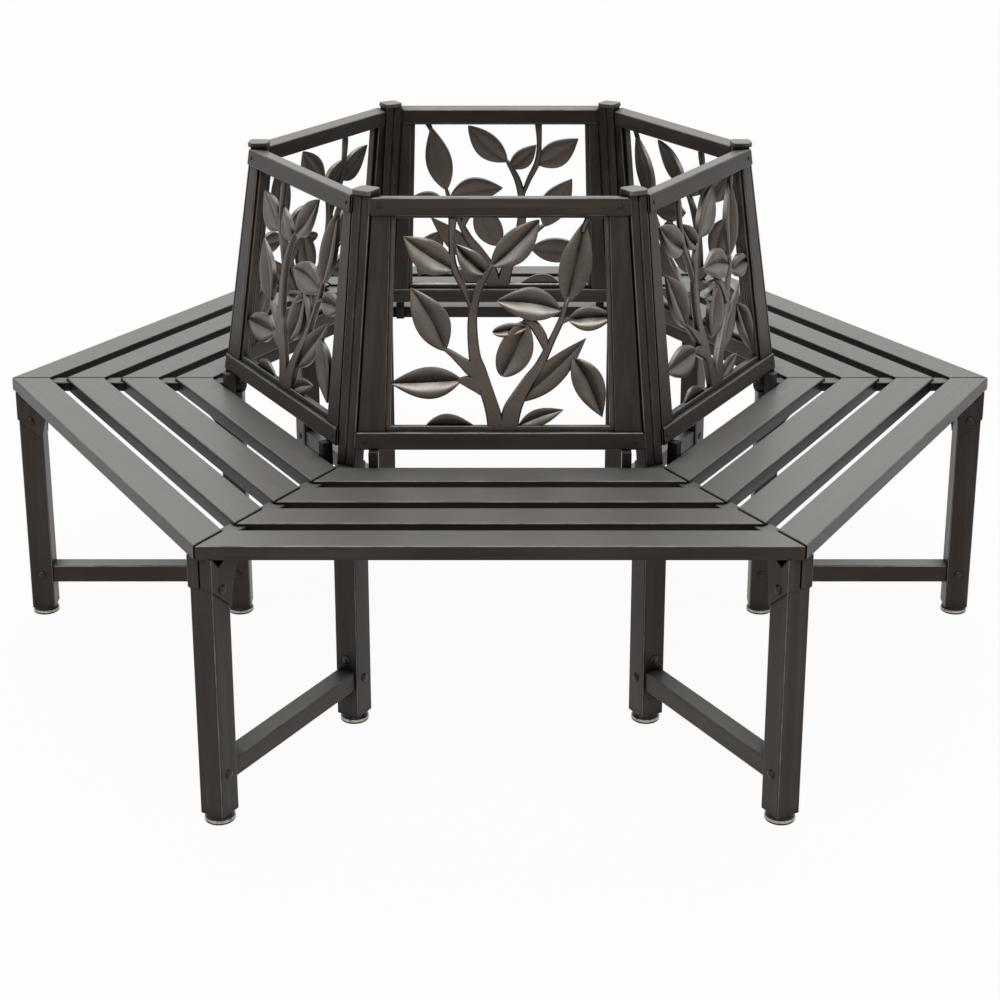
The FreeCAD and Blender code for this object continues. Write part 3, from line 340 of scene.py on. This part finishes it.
def black_enamel(colours):
    """Stove enamel on pressed steel feet: black, glossy, scuffed, with a painted rim highlight."""
    material, tree, place = new_material("black_foot_enamel")
    # Scuffs of about 6 mm, and enamel that flowed in swells of about 15 mm.
    scuffs = add_node(tree, NOISE, {"Vector": place, "Scale": 1 / (6 * MM), "Detail": 5})
    black = add_node(tree, MIX, {"Factor": scuffs, "A": shade(colours.foot, 0.8),
                                 "B": shade(colours.foot, 1.8)}, **COLOUR)
    # Painted highlight: a scuffed band of bright, more metallic steel round the rim.
    height = add_node(tree, "ShaderNodeSeparateXYZ", {"Vector": place}).outputs["Z"]
    low, high = PAINTED_RIM_HIGHLIGHT_HEIGHTS
    over = add_node(tree, RANGE, {"Value": height, "From Min": low, "From Max": low + MM}, **SOFT)
    under = add_node(tree, RANGE, {"Value": height, "From Min": high,
                                   "From Max": high - MM}, **SOFT)
    band = add_node(tree, MATH, {0: over, 1: under}, operation="MULTIPLY")
    patchy = add_node(tree, RANGE, {"Value": scuffs, "From Min": 0.3, "From Max": 0.6,
                                    "To Min": 0.55}, **SOFT)
    painted_rim_highlight = add_node(tree, MATH, {0: band, 1: patchy}, operation="MULTIPLY")
    tone = add_node(tree, MIX, {"Factor": painted_rim_highlight, "A": black, "B": shade(colours.painted_rim_highlight)}, **COLOUR)
    metal = add_node(tree, RANGE, {"Value": painted_rim_highlight, "To Min": 0.6, "To Max": 1.0})
    gloss = add_node(tree, RANGE, {"Value": scuffs, "From Min": 0.4, "From Max": 0.8,
                                   "To Min": 0.16, "To Max": 0.32})
    flow = add_node(tree, NOISE, {"Vector": place, "Scale": 1 / (15 * MM), "Detail": 1})
    bump = add_node(tree, "ShaderNodeBump", {"Strength": 0.08, "Distance": 0.3 * MM,
                                             "Height": flow})
    finish_material(tree, {"Base Color": tone, "Roughness": gloss, "Normal": bump,
                           "Metallic": metal})
    return material


def coated_bolts(colours):
    """Steel bolts under the bronze coat, near black on the rails, with the coat thin in spots.

    The bolts above the seat are those of the rails.
    """
    material, tree, place = new_material("coated_bolt_steel")
    height = add_node(tree, "ShaderNodeSeparateXYZ", {"Vector": place}).outputs["Z"]
    rails = add_node(tree, MATH, {0: height, 1: SEAT_HIGH[2]}, operation="GREATER_THAN")
    tone = add_node(tree, MIX, {"Factor": rails, "A": shade(colours.steel),
                                "B": shade(colours.bolt)}, **COLOUR)
    # Wear in spots of about 3 mm.
    wear = add_node(tree, NOISE, {"Vector": place, "Scale": 1 / (3 * MM), "Detail": 4})
    wear_and_painted_light = add_node(tree, RANGE, {"Value": wear, "From Min": 0.55, "From Max": 0.8,
                                  "To Max": 0.3}, **SOFT)
    tone = add_node(tree, MIX, {"Factor": wear_and_painted_light, "A": tone, "B": shade(colours.rubbed)}, **COLOUR)
    # Painted shade: the heads are painted darker where metal lies within 6 mm.
    corner = add_node(tree, OCCLUSION, {"Distance": 6 * MM}, samples=4).outputs["AO"]
    painted_shade = add_node(tree, RANGE, {"Value": corner, "From Min": 0.2, "From Max": 0.8,
                                 "To Min": 0.4}, **SOFT)
    tone = add_node(tree, MIX, {"Factor": 1.0, "A": tone, "B": painted_shade}, **DARKEN)
    satin = add_node(tree, RANGE, {"Value": wear, "From Min": 0.3, "From Max": 0.7,
                                   "To Min": 0.34, "To Max": 0.46}, **SOFT)
    finish_material(tree, {"Base Color": tone, "Roughness": satin, "Metallic": 0.4,
                           "Specular IOR Level": PAINT_GLOSS, "Coat Weight": LACQUER,
                           "Coat Roughness": LACQUER_ROUGHNESS})
    return material


def finish_nodes(starts, material):
    """Gives its finish to every CAD node whose name begins with one of these words."""
    found = [node for name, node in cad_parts.items() if name.startswith(starts)]
    if not found:
        raise RuntimeError(f"no CAD node begins with {starts}")
    for node in found:
        node.data.materials.clear()
        node.data.materials.append(material)


# Leaf castings

# Each stem is a line of (across, up, width) in millimetres, from the middle of the opening's foot.
STEMS = [
    [(-4, -2, 27), (-10, 27, 22), (-18, 54, 20), (-30, 88, 21), (-37, 114, 17),
     (-39.5, 163, 14), (-32, 203, 12), (-17, 234, 8), (-9, 246, 4)],
    [(13, -2, 25), (16.5, 27, 27), (28, 52, 21), (43, 76, 17), (57, 96, 14), (74, 132, 10),
     (88, 163, 9), (95, 187, 6), (98, 196, 3)],
    [(-40, 176, 6), (-51, 206, 9), (-66, 240, 10.5), (-69, 275, 9), (-67, 314, 13)],
    [(-32, 80, 16), (-43, 92, 19), (-54, 101, 14.5), (-70, 114, 9), (-84, 123, 4)],
    [(-24, 56, 12), (-34, 67.5, 20), (-46, 72.5, 17), (-55, 74, 11), (-64, 75, 4)],
    [(67, 118, 9), (60, 138, 15), (48, 156, 14), (33, 163, 6)],
    [(84, 158, 8), (95, 163, 7), (106, 165, 4)],
    [(118, 290, 5), (122, 302, 8), (128, 314, 10)],
]

# Each leaf is (base, tip, width, sideways bend, lift of its tip, roll that brings its lower half
# out, how blunt its tip is, and how strong its relief is), the last two from 0 to 1.
LEAVES = [
    ((-13, 240), (56, 307), 45, -4, -1.0, 2.0, 0.2, 1.0),
    ((-79, 117), (-128, 209), 50, -4, -2.0, 0.0, 0.0, 1.0),
    ((-55, 75), (-159, 70), 46, 2, 0.0, 0.5, 0.0, 1.0),
    ((-64, 235), (-138, 283), 47, 4, 0.0, 1.0, 0.0, 1.0),
    ((95, 186), (121, 306), 46, -1, -2.0, 0.0, 0.0, 1.0),
    ((20, 42), (124, 136), 38, -5, -1.5, -1.5, 0.0, 0.4),
    ((105, 108), (148, 20), 44, 4, 1.0, 0.0, 0.0, 1.0),
    ((36, 162), (3, 80), 49, 4, 1.0, 0.5, 1.0, 0.9),
    ((40, 153), (-11, 145), 20, 1, 3.0, 0.5, 1.0, 1.0),
    ((88, 176), (-5, 190), 47, -4, 2.0, 2.0, 0.1, 1.0),
    ((97, 163), (165, 168), 36, 0, 0.0, 0.5, 0.0, 1.0),
    ((-16, 228), (-64, 272), 33, 4, -1.5, 0.0, 0.0, 1.0),
    ((-107, 8), (-38, 8), 34, 0, 0.0, 0.0, 0.0, 0.5),
    ((26, 6), (92, 31), 25, 2, 0.0, 0.0, 0.0, 0.5),
]


def smooth_line(knots, steps):
    """Points on a smooth curve through the knots, each a Vector of any size."""
    run = [knots[0], *knots, knots[-1]]
    made = []
    for index in range(1, len(run) - 2):
        before, start, end, after = run[index - 1:index + 3]
        for step in range(steps):
            t = step / steps
            made.append(0.5 * (2 * start + (end - before) * t
                               + (2 * before - 5 * start + 4 * end - after) * t * t
                               + (3 * start - before - 3 * end + after) * t ** 3))
    made.append(knots[-1])
    return made


# Points nearer to each other than this become one.
WELD_DISTANCE = 0.01 * MM


def closed_mesh(name, rings, lids=True):
    """A closed skin over rings of as many points each, with a lid at both ends or joined up."""
    mesh = bpy.data.meshes.new(name)
    count, rows = len(rings[0]), len(rings)
    points = [point for ring in rings for point in ring]
    faces = [(row * count + side, row * count + (side + 1) % count,
              (row + 1) % rows * count + (side + 1) % count, (row + 1) % rows * count + side)
             for row in range(rows - 1 if lids else rows) for side in range(count)]
    if lids:
        faces.append(tuple(reversed(range(count))))
        faces.append(tuple((rows - 1) * count + side for side in range(count)))
    mesh.from_pydata(points, [], faces)
    skin = bmesh.new()
    skin.from_mesh(mesh)
    bmesh.ops.remove_doubles(skin, verts=skin.verts, dist=WELD_DISTANCE)
    bmesh.ops.recalc_face_normals(skin, faces=skin.faces)
    skin.to_mesh(mesh)
    skin.free()
    return mesh


# The rows of points along a leaf, and the columns on each side of its midrib.
LEAF_ROWS = 30
LEAF_HALF_COLUMNS = 9
# Half of a leaf's thickness where it has no relief, and how far its midrib is sunk, in millimetres.
LEAF_HALF_THICKNESS = 1.2
MIDRIB_DEPTH = 1.8
# A leaf keeps this share of its length clear of a true point at both ends, for a closed skin.
LEAF_END = 0.004
# A leaf narrower than this, in millimetres, has a shallower relief, and so has a leaf's end where
# its half width is less than this share of the leaf's width.
FULL_RELIEF_WIDTH = 34
FULL_RELIEF_SHARE = 0.42
# The crown of a leaf's half lies this share of the way from the midrib to the edge. The swell of
# its back lies nearer to the midrib, and is a share of the crown's height.
CROWN_PLACE = 0.75
BACK_CROWN_PLACE = 0.625
BACK_CROWN_SHARE = 0.3
# Powers that set where a pointed and a blunt leaf are widest, and how full they are.
POINTED_SKEW, POINTED_FULLNESS = 0.85, 0.95
BLUNT_SKEW, BLUNT_FULLNESS = 1.15, 0.55


def leaf_half_width(share, blunt):
    """Half of a leaf's width at a share of its length, as a share of its widest."""
    pointed = math.sin(math.pi * share ** POINTED_SKEW) ** POINTED_FULLNESS
    rounded = math.sin(math.pi * share ** BLUNT_SKEW) ** BLUNT_FULLNESS
    return 0.5 * (pointed + (rounded - pointed) * blunt)


def make_leaf(sizes, base, tip, width, bend, lift, roll, blunt, relief):
    """A leaf whose halves rise steeply from a sunk midrib and level off towards their edges.

    Its tip may lift towards the viewer, and it may roll about its midrib, both in millimetres.
    """
    base, tip = Vector(base), Vector(tip)
    along = tip - base
    aside = Vector((-along.y, along.x)).normalized()
    low_side = -1 if aside.y > 0 else 1
    crown = sizes.leaf_crown / MM
    rings = []
    for row in range(LEAF_ROWS + 1):
        share = min(max(row / LEAF_ROWS, LEAF_END), 1 - LEAF_END)
        half = width * leaf_half_width(share, blunt)
        spine = base + along * share + aside * bend * math.sin(math.pi * share ** POINTED_SKEW)
        full = relief * min(1, width / FULL_RELIEF_WIDTH)
        full *= min(1, half / (FULL_RELIEF_SHARE * width))
        front, back = [], []
        for column in range(-LEAF_HALF_COLUMNS, LEAF_HALF_COLUMNS + 1):
            side = column / LEAF_HALF_COLUMNS
            out = abs(side)
            spot = spine + aside * side * half
            middle = -lift * share ** 2 - roll * side * low_side * half / (0.5 * width)
            rise = crown * math.sin(math.pi / 2 * out / CROWN_PLACE) - MIDRIB_DEPTH
            swell = BACK_CROWN_SHARE * crown * math.sin(math.pi / 2 * out / BACK_CROWN_PLACE)
            hump = swell + LEAF_HALF_THICKNESS * (0.5 - out ** 2)
            front.append(Vector((spot.x, middle - LEAF_HALF_THICKNESS - full * rise, spot.y)) * MM)
            back.append(Vector((spot.x, middle + LEAF_HALF_THICKNESS + full * hump, spot.y)) * MM)
        rings.append(front + back[::-1])
    return closed_mesh("leaf", rings)


# The rings of points from one knot of a stem to the next.
STEM_STEPS = 7
# The chamfer along a stem, the length over which its end thins out, in millimetres, and the share
# of its depth that the end keeps.
STEM_CHAMFER = 2.2
STEM_FADE = 14
STEM_END_SHARE = 0.2
# A stem this wide, in millimetres, is as deep as the rim. The slimmest would keep this share of it.
STEM_FULL_WIDTH = 18
STEM_SLIM_SHARE = 0.6


def make_stem(sizes, line):
    """A branch along its line, flat in front and behind, with chamfers and a thinning end."""
    run = smooth_line([Vector(knot) for knot in line], STEM_STEPS)
    travelled = [0.0]
    for before, after in zip(run, run[1:]):
        travelled.append(travelled[-1] + (after - before).xy.length)
    rings = []
    for index, knot in enumerate(run):
        before, after = run[max(index - 1, 0)], run[min(index + 1, len(run) - 1)]
        heading = (after - before).xy.normalized()
        aside = Vector((-heading.y, heading.x))
        half = knot.z / 2
        ending = min(1, (travelled[-1] - travelled[index]) / STEM_FADE)
        thinning = STEM_END_SHARE + (1 - STEM_END_SHARE) * math.sin(ending * math.pi / 2)
        slimming = min(1, STEM_SLIM_SHARE + (1 - STEM_SLIM_SHARE) * knot.z / STEM_FULL_WIDTH)
        deep = sizes.depth / MM / 2 * slimming * thinning
        chamfer = min(STEM_CHAMFER, 0.5 * half, 0.6 * deep)
        corners = [(half - chamfer, -deep), (half, chamfer - deep), (half, deep - chamfer),
                   (half - chamfer, deep)]
        corners += [(-across, out) for across, out in reversed(corners)]
        ring = []
        for across, out in corners:
            spot = knot.xy + aside * across
            ring.append(Vector((spot.x, out, spot.y)) * MM)
        rings.append(ring)
    return closed_mesh("stem", rings)


# How wide the casting's rim is at its foot, head and sides, how far its inner edges are eased, and
# how far below the top of the opening it stops.
RIM_FOOT, RIM_HEAD, RIM_SIDE, RIM_ROUND = 8 * MM, 4 * MM, 6 * MM, 1.2 * MM
RIM_HEAD_GAP = 0.3 * MM


def make_rim(sizes):
    """The casting's outer rim, a leaning-sided ring with softened inner edges."""
    height = sizes.high - sizes.low

    def corners(inset_foot, inset_head, inset_side):
        def half(up):
            return sizes.half_low + (sizes.half_high - sizes.half_low) * up / height - inset_side
        foot, head = inset_foot, height - inset_head
        return [(-half(foot), foot), (half(foot), foot), (half(head), head), (-half(head), head)]

    deep = sizes.depth / 2
    outer = corners(0, RIM_HEAD_GAP, 0)
    inner = corners(RIM_FOOT, RIM_HEAD, RIM_SIDE)
    eased = corners(RIM_FOOT - RIM_ROUND, RIM_HEAD - RIM_ROUND, RIM_SIDE - RIM_ROUND)
    loops = [(outer, -deep), (eased, -deep), (inner, -deep + RIM_ROUND),
             (inner, deep - RIM_ROUND), (eased, deep), (outer, deep)]
    return closed_mesh("rim", [[(x, y, z) for x, z in loop] for loop, y in loops], lids=False)


# An edge of a casting where the surface turns more than this stays sharp.
SHARP_TURN = math.radians(28)


def united(name, meshes):
    """One mesh that is the union of closed meshes."""
    whole = add_object(name, meshes[0])
    for mesh in meshes[1:]:
        piece = add_object("part", mesh)
        union = whole.modifiers.new("union", "BOOLEAN")
        union.operation, union.solver, union.object = "UNION", "MANIFOLD", piece
        evaluated = whole.evaluated_get(bpy.context.evaluated_depsgraph_get())
        joined = bpy.data.meshes.new_from_object(evaluated)
        whole.modifiers.clear()
        whole.data = joined
        bpy.data.objects.remove(piece)
    made = whole.data
    bpy.data.objects.remove(whole)
    made.name = name
    made.shade_smooth()
    made.set_sharp_from_angle(angle=SHARP_TURN)
    return made


def make_castings(sizes, material):
    """Six leaf castings, one in each back frame."""
    parts = [make_rim(sizes)]
    parts += [make_stem(sizes, line) for line in STEMS]
    parts += [make_leaf(sizes, *leaf) for leaf in LEAVES]
    casting = united("leaf_casting", parts)
    casting.materials.clear()
    casting.materials.append(material)
    stand = back_stand(sizes) @ Matrix.Translation((0, sizes.middle, sizes.low))
    for number in range(SIDES):
        piece = add_object(f"leaf_casting_{number + 1}", casting)
        piece.matrix_world = Matrix.Rotation(number * TURN, 4, "Z") @ stand
        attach(piece, "bench")
        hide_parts(f"leaf_insert_{number + 1}")


# Bolts

# A head's outline from its foot to its crown, as (radius, height) in millimetres.
DOMED_HEAD = [(6.5, 0.0), (6.5, 0.7), (6.2, 1.3), (5.2, 2.0), (3.6, 2.6), (1.8, 2.9)]
BUTTON_HEAD = [(3.0, 0.0), (3.0, 0.5), (2.8, 0.9), (2.3, 1.2), (1.7, 1.3)]
# From a socket's middle to its flats, and how deep it is, in millimetres.
SOCKET_APOTHEM, SOCKET_DEPTH = 1.1, 0.9
# The points round a head, and the turn of its surface above which an edge stays sharp.
HEAD_SIDES = 24
HEAD_SHARP_TURN = math.radians(50)


def make_head(outline, socket):
    """A bolt head on the XY plane that faces +Z, with a hexagon socket if asked."""
    def ring(height, reach):
        angles = [math.tau * side / HEAD_SIDES for side in range(HEAD_SIDES)]
        return [Vector((reach(turn) * math.cos(turn), reach(turn) * math.sin(turn), height)) * MM
                for turn in angles]

    def hexagon(angle):
        return SOCKET_APOTHEM / math.cos((angle + TURN / 2) % TURN - TURN / 2)

    rings = [ring(height, lambda angle, radius=radius: radius) for radius, height in outline]
    if socket:
        crown = outline[-1][1]
        rings += [ring(crown, hexagon), ring(crown - SOCKET_DEPTH, hexagon)]
    return closed_mesh("head", rings)


def back_stand(sizes):
    """Where the back that faces -Y stands: X across it, Y in through it and Z up its slope."""
    return Matrix.Translation((0, -sizes.reach, sizes.rise)) @ Matrix.Rotation(-sizes.lean, 4, "X")


OUTER_LEG_MIDDLE = (OUTER_LEG_LOW[0] + OUTER_LEG_HIGH[0]) / 2
INNER_LEG_MIDDLE = (INNER_LEG_LOW[0] + INNER_LEG_HIGH[0]) / 2
LEG_HALF, LEG_TOP = OUTER_LEG_HIGH[1], OUTER_LEG_HIGH[2]
STRETCHER_MIDDLE = (STRETCHER_LOW[2] + STRETCHER_HIGH[2]) / 2
# The brackets and cleats are 2 mm thick, and their bolts sit this far under the legs' tops.
BRACKETED_HALF = LEG_HALF + 2 * MM
BRACKET_BOLT_DROP, CLEAT_BOLT_DROP = 49 * MM, 22 * MM
# Through bolts as (distance from the bench's middle, height, half the width they clamp).
LEG_BOLTS = [
    (OUTER_LEG_MIDDLE, STRETCHER_MIDDLE, LEG_HALF),
    (INNER_LEG_MIDDLE, STRETCHER_MIDDLE, LEG_HALF),
    (OUTER_LEG_MIDDLE, LEG_TOP - BRACKET_BOLT_DROP, BRACKETED_HALF),
    (INNER_LEG_MIDDLE, LEG_TOP - CLEAT_BOLT_DROP, BRACKETED_HALF),
]
# One more stands in the inner leg's outer face, above the stretcher.
FACE_BOLT = (INNER_LEG_HIGH[0], 0, STRETCHER_MIDDLE + 33 * MM)
# Rail bolts as (distance from the back's middle, distance up its slope).
RAIL_BOLTS = [(195.5 * MM, 13 * MM), (170.9 * MM, 353 * MM)]


def make_bolts(sizes, material):
    """The heads of all the bolts, where the CAD bolts have theirs."""
    domed, button = make_head(DOMED_HEAD, False), make_head(BUTTON_HEAD, True)
    seats = [(domed, Vector(FACE_BOLT), Vector((1, 0, 0)))]
    for side in (-1, 1):
        seats += [(domed, Vector((reach, side * half, height)), Vector((0, side, 0)))
                  for reach, height, half in LEG_BOLTS]
    stand = back_stand(sizes)
    outwards = stand.to_3x3() @ Vector((0, -1, 0))
    for across, up in RAIL_BOLTS:
        seats += [(button, stand @ Vector((side * across, 0, up)), outwards) for side in (-1, 1)]
    heads = bmesh.new()
    for number in range(SIDES):
        for head, place, facing in seats:
            copy = head.copy()
            aimed = Matrix.Translation(place) @ facing.to_track_quat("Z", "Y").to_matrix().to_4x4()
            copy.transform(Matrix.Rotation(number * TURN, 4, "Z") @ aimed)
            heads.from_mesh(copy)
            bpy.data.meshes.remove(copy)
    mesh = bpy.data.meshes.new("bolt_heads")
    heads.to_mesh(mesh)
    heads.free()
    mesh.shade_smooth()
    mesh.set_sharp_from_angle(angle=HEAD_SHARP_TURN)
    mesh.materials.append(material)
    piece = add_object("bolt_heads", mesh)
    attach(piece, "bench")
    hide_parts("bolts")


# Stage

# The disc's radius in metres, and its corners.
FLOOR_RADIUS, FLOOR_SEGMENTS = 60, 96
# How much of the floor is plain white to a view or a reflection. The rest keeps the shadow.
FLOOR_WHITENING = 0.95


def seen_plainly(tree):
    """1 for rays that see the surroundings as a backdrop: straight, in gloss or through glass."""
    path = add_node(tree, "ShaderNodeLightPath").outputs
    plain = add_node(tree, MATH, {0: path["Is Camera Ray"], 1: path["Is Glossy Ray"]},
                     operation="MAXIMUM")
    return add_node(tree, MATH, {0: plain, 1: path["Is Transmission Ray"]}, operation="MAXIMUM")


def make_floor(colours):
    """A pale disc of floor, near white to the camera and in gloss, with a faint shadow on it."""
    mesh = bpy.data.meshes.new("floor")
    disc = bmesh.new()
    bmesh.ops.create_circle(disc, cap_ends=True, radius=FLOOR_RADIUS, segments=FLOOR_SEGMENTS)
    disc.to_mesh(mesh)
    disc.free()
    floor = add_object("floor", mesh)
    material, tree, place = new_material("painted_studio_floor")
    # Clouding in the paint about half a metre across.
    cloud = add_node(tree, NOISE, {"Vector": place, "Scale": 1 / (500 * MM), "Detail": 2})
    tone = add_node(tree, MIX, {"Factor": cloud, "A": shade(colours.floor, 0.98),
                                "B": shade(colours.floor)}, **COLOUR)
    paint = add_node(tree, "ShaderNodeBsdfPrincipled", {"Base Color": tone, "Roughness": 0.9,
                                                        "Specular IOR Level": 0.1})
    white = add_node(tree, "ShaderNodeEmission", {"Color": (1, 1, 1, 1)})
    share = add_node(tree, MATH, {0: seen_plainly(tree), 1: FLOOR_WHITENING}, operation="MULTIPLY")
    mixed = add_node(tree, "ShaderNodeMixShader", {0: share, 1: paint, 2: white})
    add_node(tree, "ShaderNodeOutputMaterial", {"Surface": mixed})
    mesh.materials.append(material)


# The strength of the surroundings as light.
WORLD_LIGHT = 0.3


def make_world():
    """Even surroundings, white to the camera and in gloss, and dimmer as light."""
    world = bpy.data.worlds.new("studio")
    bpy.context.scene.world = world
    world.use_nodes = True
    tree = world.node_tree
    tree.nodes.clear()
    strength = add_node(tree, RANGE, {"Value": seen_plainly(tree), "To Min": WORLD_LIGHT})
    background = add_node(tree, "ShaderNodeBackground", {"Color": (1, 1, 1, 1),
                                                         "Strength": strength})
    add_node(tree, "ShaderNodeOutputWorld", {"Surface": background})


# Wide even lights: each is (name, bearing round the bench from the front, height above the horizon,
# width across the sky, strength), angles in degrees.
LAMPS = [
    ("left_softbox", -58, 46, 40, 0.65),
    ("right_softbox", 58, 46, 40, 0.55),
    ("front_softbox", 0, 52, 30, 1.6),
    ("back_softbox", 180, 58, 44, 1.1),
]


def make_lamps():
    """Softboxes so large and far that they light the whole floor alike."""
    for name, bearing, height, width, strength in LAMPS:
        data = bpy.data.lights.new(name, "SUN")
        data.angle, data.energy = math.radians(width), strength
        lamp = add_object(name, data)
        lamp.rotation_euler = (math.radians(90 - height), 0, math.radians(bearing))


# Where the camera stands in metres, how far it looks down, its lens in millimetres and its shift.
CAMERA_PLACE = (0, -3.0759, 1.4454)
CAMERA_PITCH = math.radians(16.843)
CAMERA_LENS = 71.23
CAMERA_SHIFT = -0.18


def make_camera():
    """The photograph's view: level across, looking down on the seat, framed low."""
    data = bpy.data.cameras.new("camera")
    data.lens, data.shift_y = CAMERA_LENS, CAMERA_SHIFT
    camera = add_object("camera", data)
    camera.location = CAMERA_PLACE
    camera.rotation_euler = (math.pi / 2 - CAMERA_PITCH, 0, 0)
    bpy.context.scene.camera = camera


# Operators


class TREEBENCH_OT_studio(bpy.types.Operator):
    """Set up the floor, the soft lamps, the surroundings and the camera"""

    bl_idname = "treebench.studio"
    bl_label = "Studio"
    bl_options = {"REGISTER", "UNDO"}

    def execute(self, context):
        make_floor(context.scene.bench_finishes)
        make_world()
        make_lamps()
        make_camera()
        context.scene.view_settings.view_transform = "Standard"
        return {"FINISHED"}


class TREEBENCH_OT_seat(bpy.types.Operator):
    """Coat the seat slats and the bars under their seams"""

    bl_idname = "treebench.seat"
    bl_label = "Seat Slats"
    bl_options = {"REGISTER", "UNDO"}

    def execute(self, context):
        colours = context.scene.bench_finishes
        finish_nodes("seat_section",
                     rubbed_bronze("rubbed_bronze_slats", colours, colours.steel, "round"))
        finish_nodes("seat_bars",
                     rubbed_bronze("rubbed_bronze_seat_bars", colours, colours.steel, "radial"))
        return {"FINISHED"}


class TREEBENCH_OT_legs(bpy.types.Operator):
    """Coat the legs, stretchers, brackets and cleats"""

    bl_idname = "treebench.legs"
    bl_label = "Legs and Stretchers"
    bl_options = {"REGISTER", "UNDO"}

    def execute(self, context):
        colours = context.scene.bench_finishes
        finish_nodes(("outer_leg", "inner_leg", "leg_"),
                     rubbed_bronze("rubbed_bronze_legs", colours, colours.steel, "upright"))
        finish_nodes("stretcher",
                     rubbed_bronze("rubbed_bronze_stretchers", colours, colours.steel, "radial"))
        return {"FINISHED"}


class TREEBENCH_OT_backs(bpy.types.Operator):
    """Coat the back frames, the blocks under them and the corner posts"""

    bl_idname = "treebench.backs"
    bl_label = "Back Frames and Posts"
    bl_options = {"REGISTER", "UNDO"}

    def execute(self, context):
        colours = context.scene.bench_finishes
        finish_nodes("back_",
                     rubbed_bronze("rubbed_bronze_frames", colours, colours.steel, "frame"))
        finish_nodes("corner_post",
                     rubbed_bronze("rubbed_bronze_posts", colours, colours.steel, "upright"))
        return {"FINISHED"}


class TREEBENCH_OT_castings(bpy.types.Operator):
    """Build the six leaf castings in place of their flat plates"""

    bl_idname = "treebench.castings"
    bl_label = "Leaf Castings"
    bl_options = {"REGISTER", "UNDO"}

    def execute(self, context):
        colours = context.scene.bench_finishes
        coat = rubbed_bronze("rubbed_bronze_castings", colours, colours.casting, None,
                             painted_light_tops=(0.15, 0.6, 0.5), rub_and_highlight=0.0,
                             metallic=0.88, roughness=0.35, peel=0.03)
        make_castings(context.scene.bench_casting, coat)
        return {"FINISHED"}


class TREEBENCH_OT_caps(bpy.types.Operator):
    """Coat the cast caps on the corner posts"""

    bl_idname = "treebench.caps"
    bl_label = "Post Caps"
    bl_options = {"REGISTER", "UNDO"}

    def execute(self, context):
        colours = context.scene.bench_finishes
        finish_nodes("post_caps",
                     rubbed_bronze("rubbed_bronze_cast_caps", colours, colours.cap, None,
                                   rub_and_highlight=0.3, metallic=0.8))
        return {"FINISHED"}


class TREEBENCH_OT_bolts(bpy.types.Operator):
    """Build the bolt heads: low domes on the legs, small socket heads on the rails"""

    bl_idname = "treebench.bolts"
    bl_label = "Bolts"
    bl_options = {"REGISTER", "UNDO"}

    def execute(self, context):
        make_bolts(context.scene.bench_casting, coated_bolts(context.scene.bench_finishes))
        return {"FINISHED"}


class TREEBENCH_OT_feet(bpy.types.Operator):
    """Give the levelling feet their black enamel"""

    bl_idname = "treebench.feet"
    bl_label = "Levelling Feet"
    bl_options = {"REGISTER", "UNDO"}

    def execute(self, context):
        finish_nodes(("outer_foot", "inner_foot"),
                     black_enamel(context.scene.bench_finishes))
        return {"FINISHED"}


OPERATORS = (
    TREEBENCH_OT_studio,
    TREEBENCH_OT_seat,
    TREEBENCH_OT_legs,
    TREEBENCH_OT_backs,
    TREEBENCH_OT_castings,
    TREEBENCH_OT_caps,
    TREEBENCH_OT_bolts,
    TREEBENCH_OT_feet,
)


class VIEW3D_PT_tree_bench(bpy.types.Panel):
    """Lists the bench's pieces, sizes and colours"""

    bl_label = "Tree Bench"
    bl_space_type = "VIEW_3D"
    bl_region_type = "UI"
    bl_category = "Tree Bench"

    def draw(self, context):
        layout = self.layout
        for settings in (context.scene.bench_casting, context.scene.bench_finishes):
            box = layout.box()
            for name in settings.bl_rna.properties.keys():
                if name not in ("rna_type", "name"):
                    box.prop(settings, name)
        for operator in OPERATORS:
            layout.operator(operator.bl_idname)


CLASSES = (CastingSizes, Finishes, *OPERATORS, VIEW3D_PT_tree_bench)


def register():
    for each in CLASSES:
        bpy.utils.register_class(each)
    bpy.types.Scene.bench_casting = PointerProperty(type=CastingSizes)
    bpy.types.Scene.bench_finishes = PointerProperty(type=Finishes)


def unregister():
    del bpy.types.Scene.bench_finishes
    del bpy.types.Scene.bench_casting
    for each in reversed(CLASSES):
        bpy.utils.unregister_class(each)


def main():
    register()
    bpy.ops.treebench.studio()
    bpy.ops.treebench.seat()
    bpy.ops.treebench.legs()
    bpy.ops.treebench.backs()
    bpy.ops.treebench.castings()
    bpy.ops.treebench.caps()
    bpy.ops.treebench.bolts()
    bpy.ops.treebench.feet()


if __name__ == "__main__":
    main()
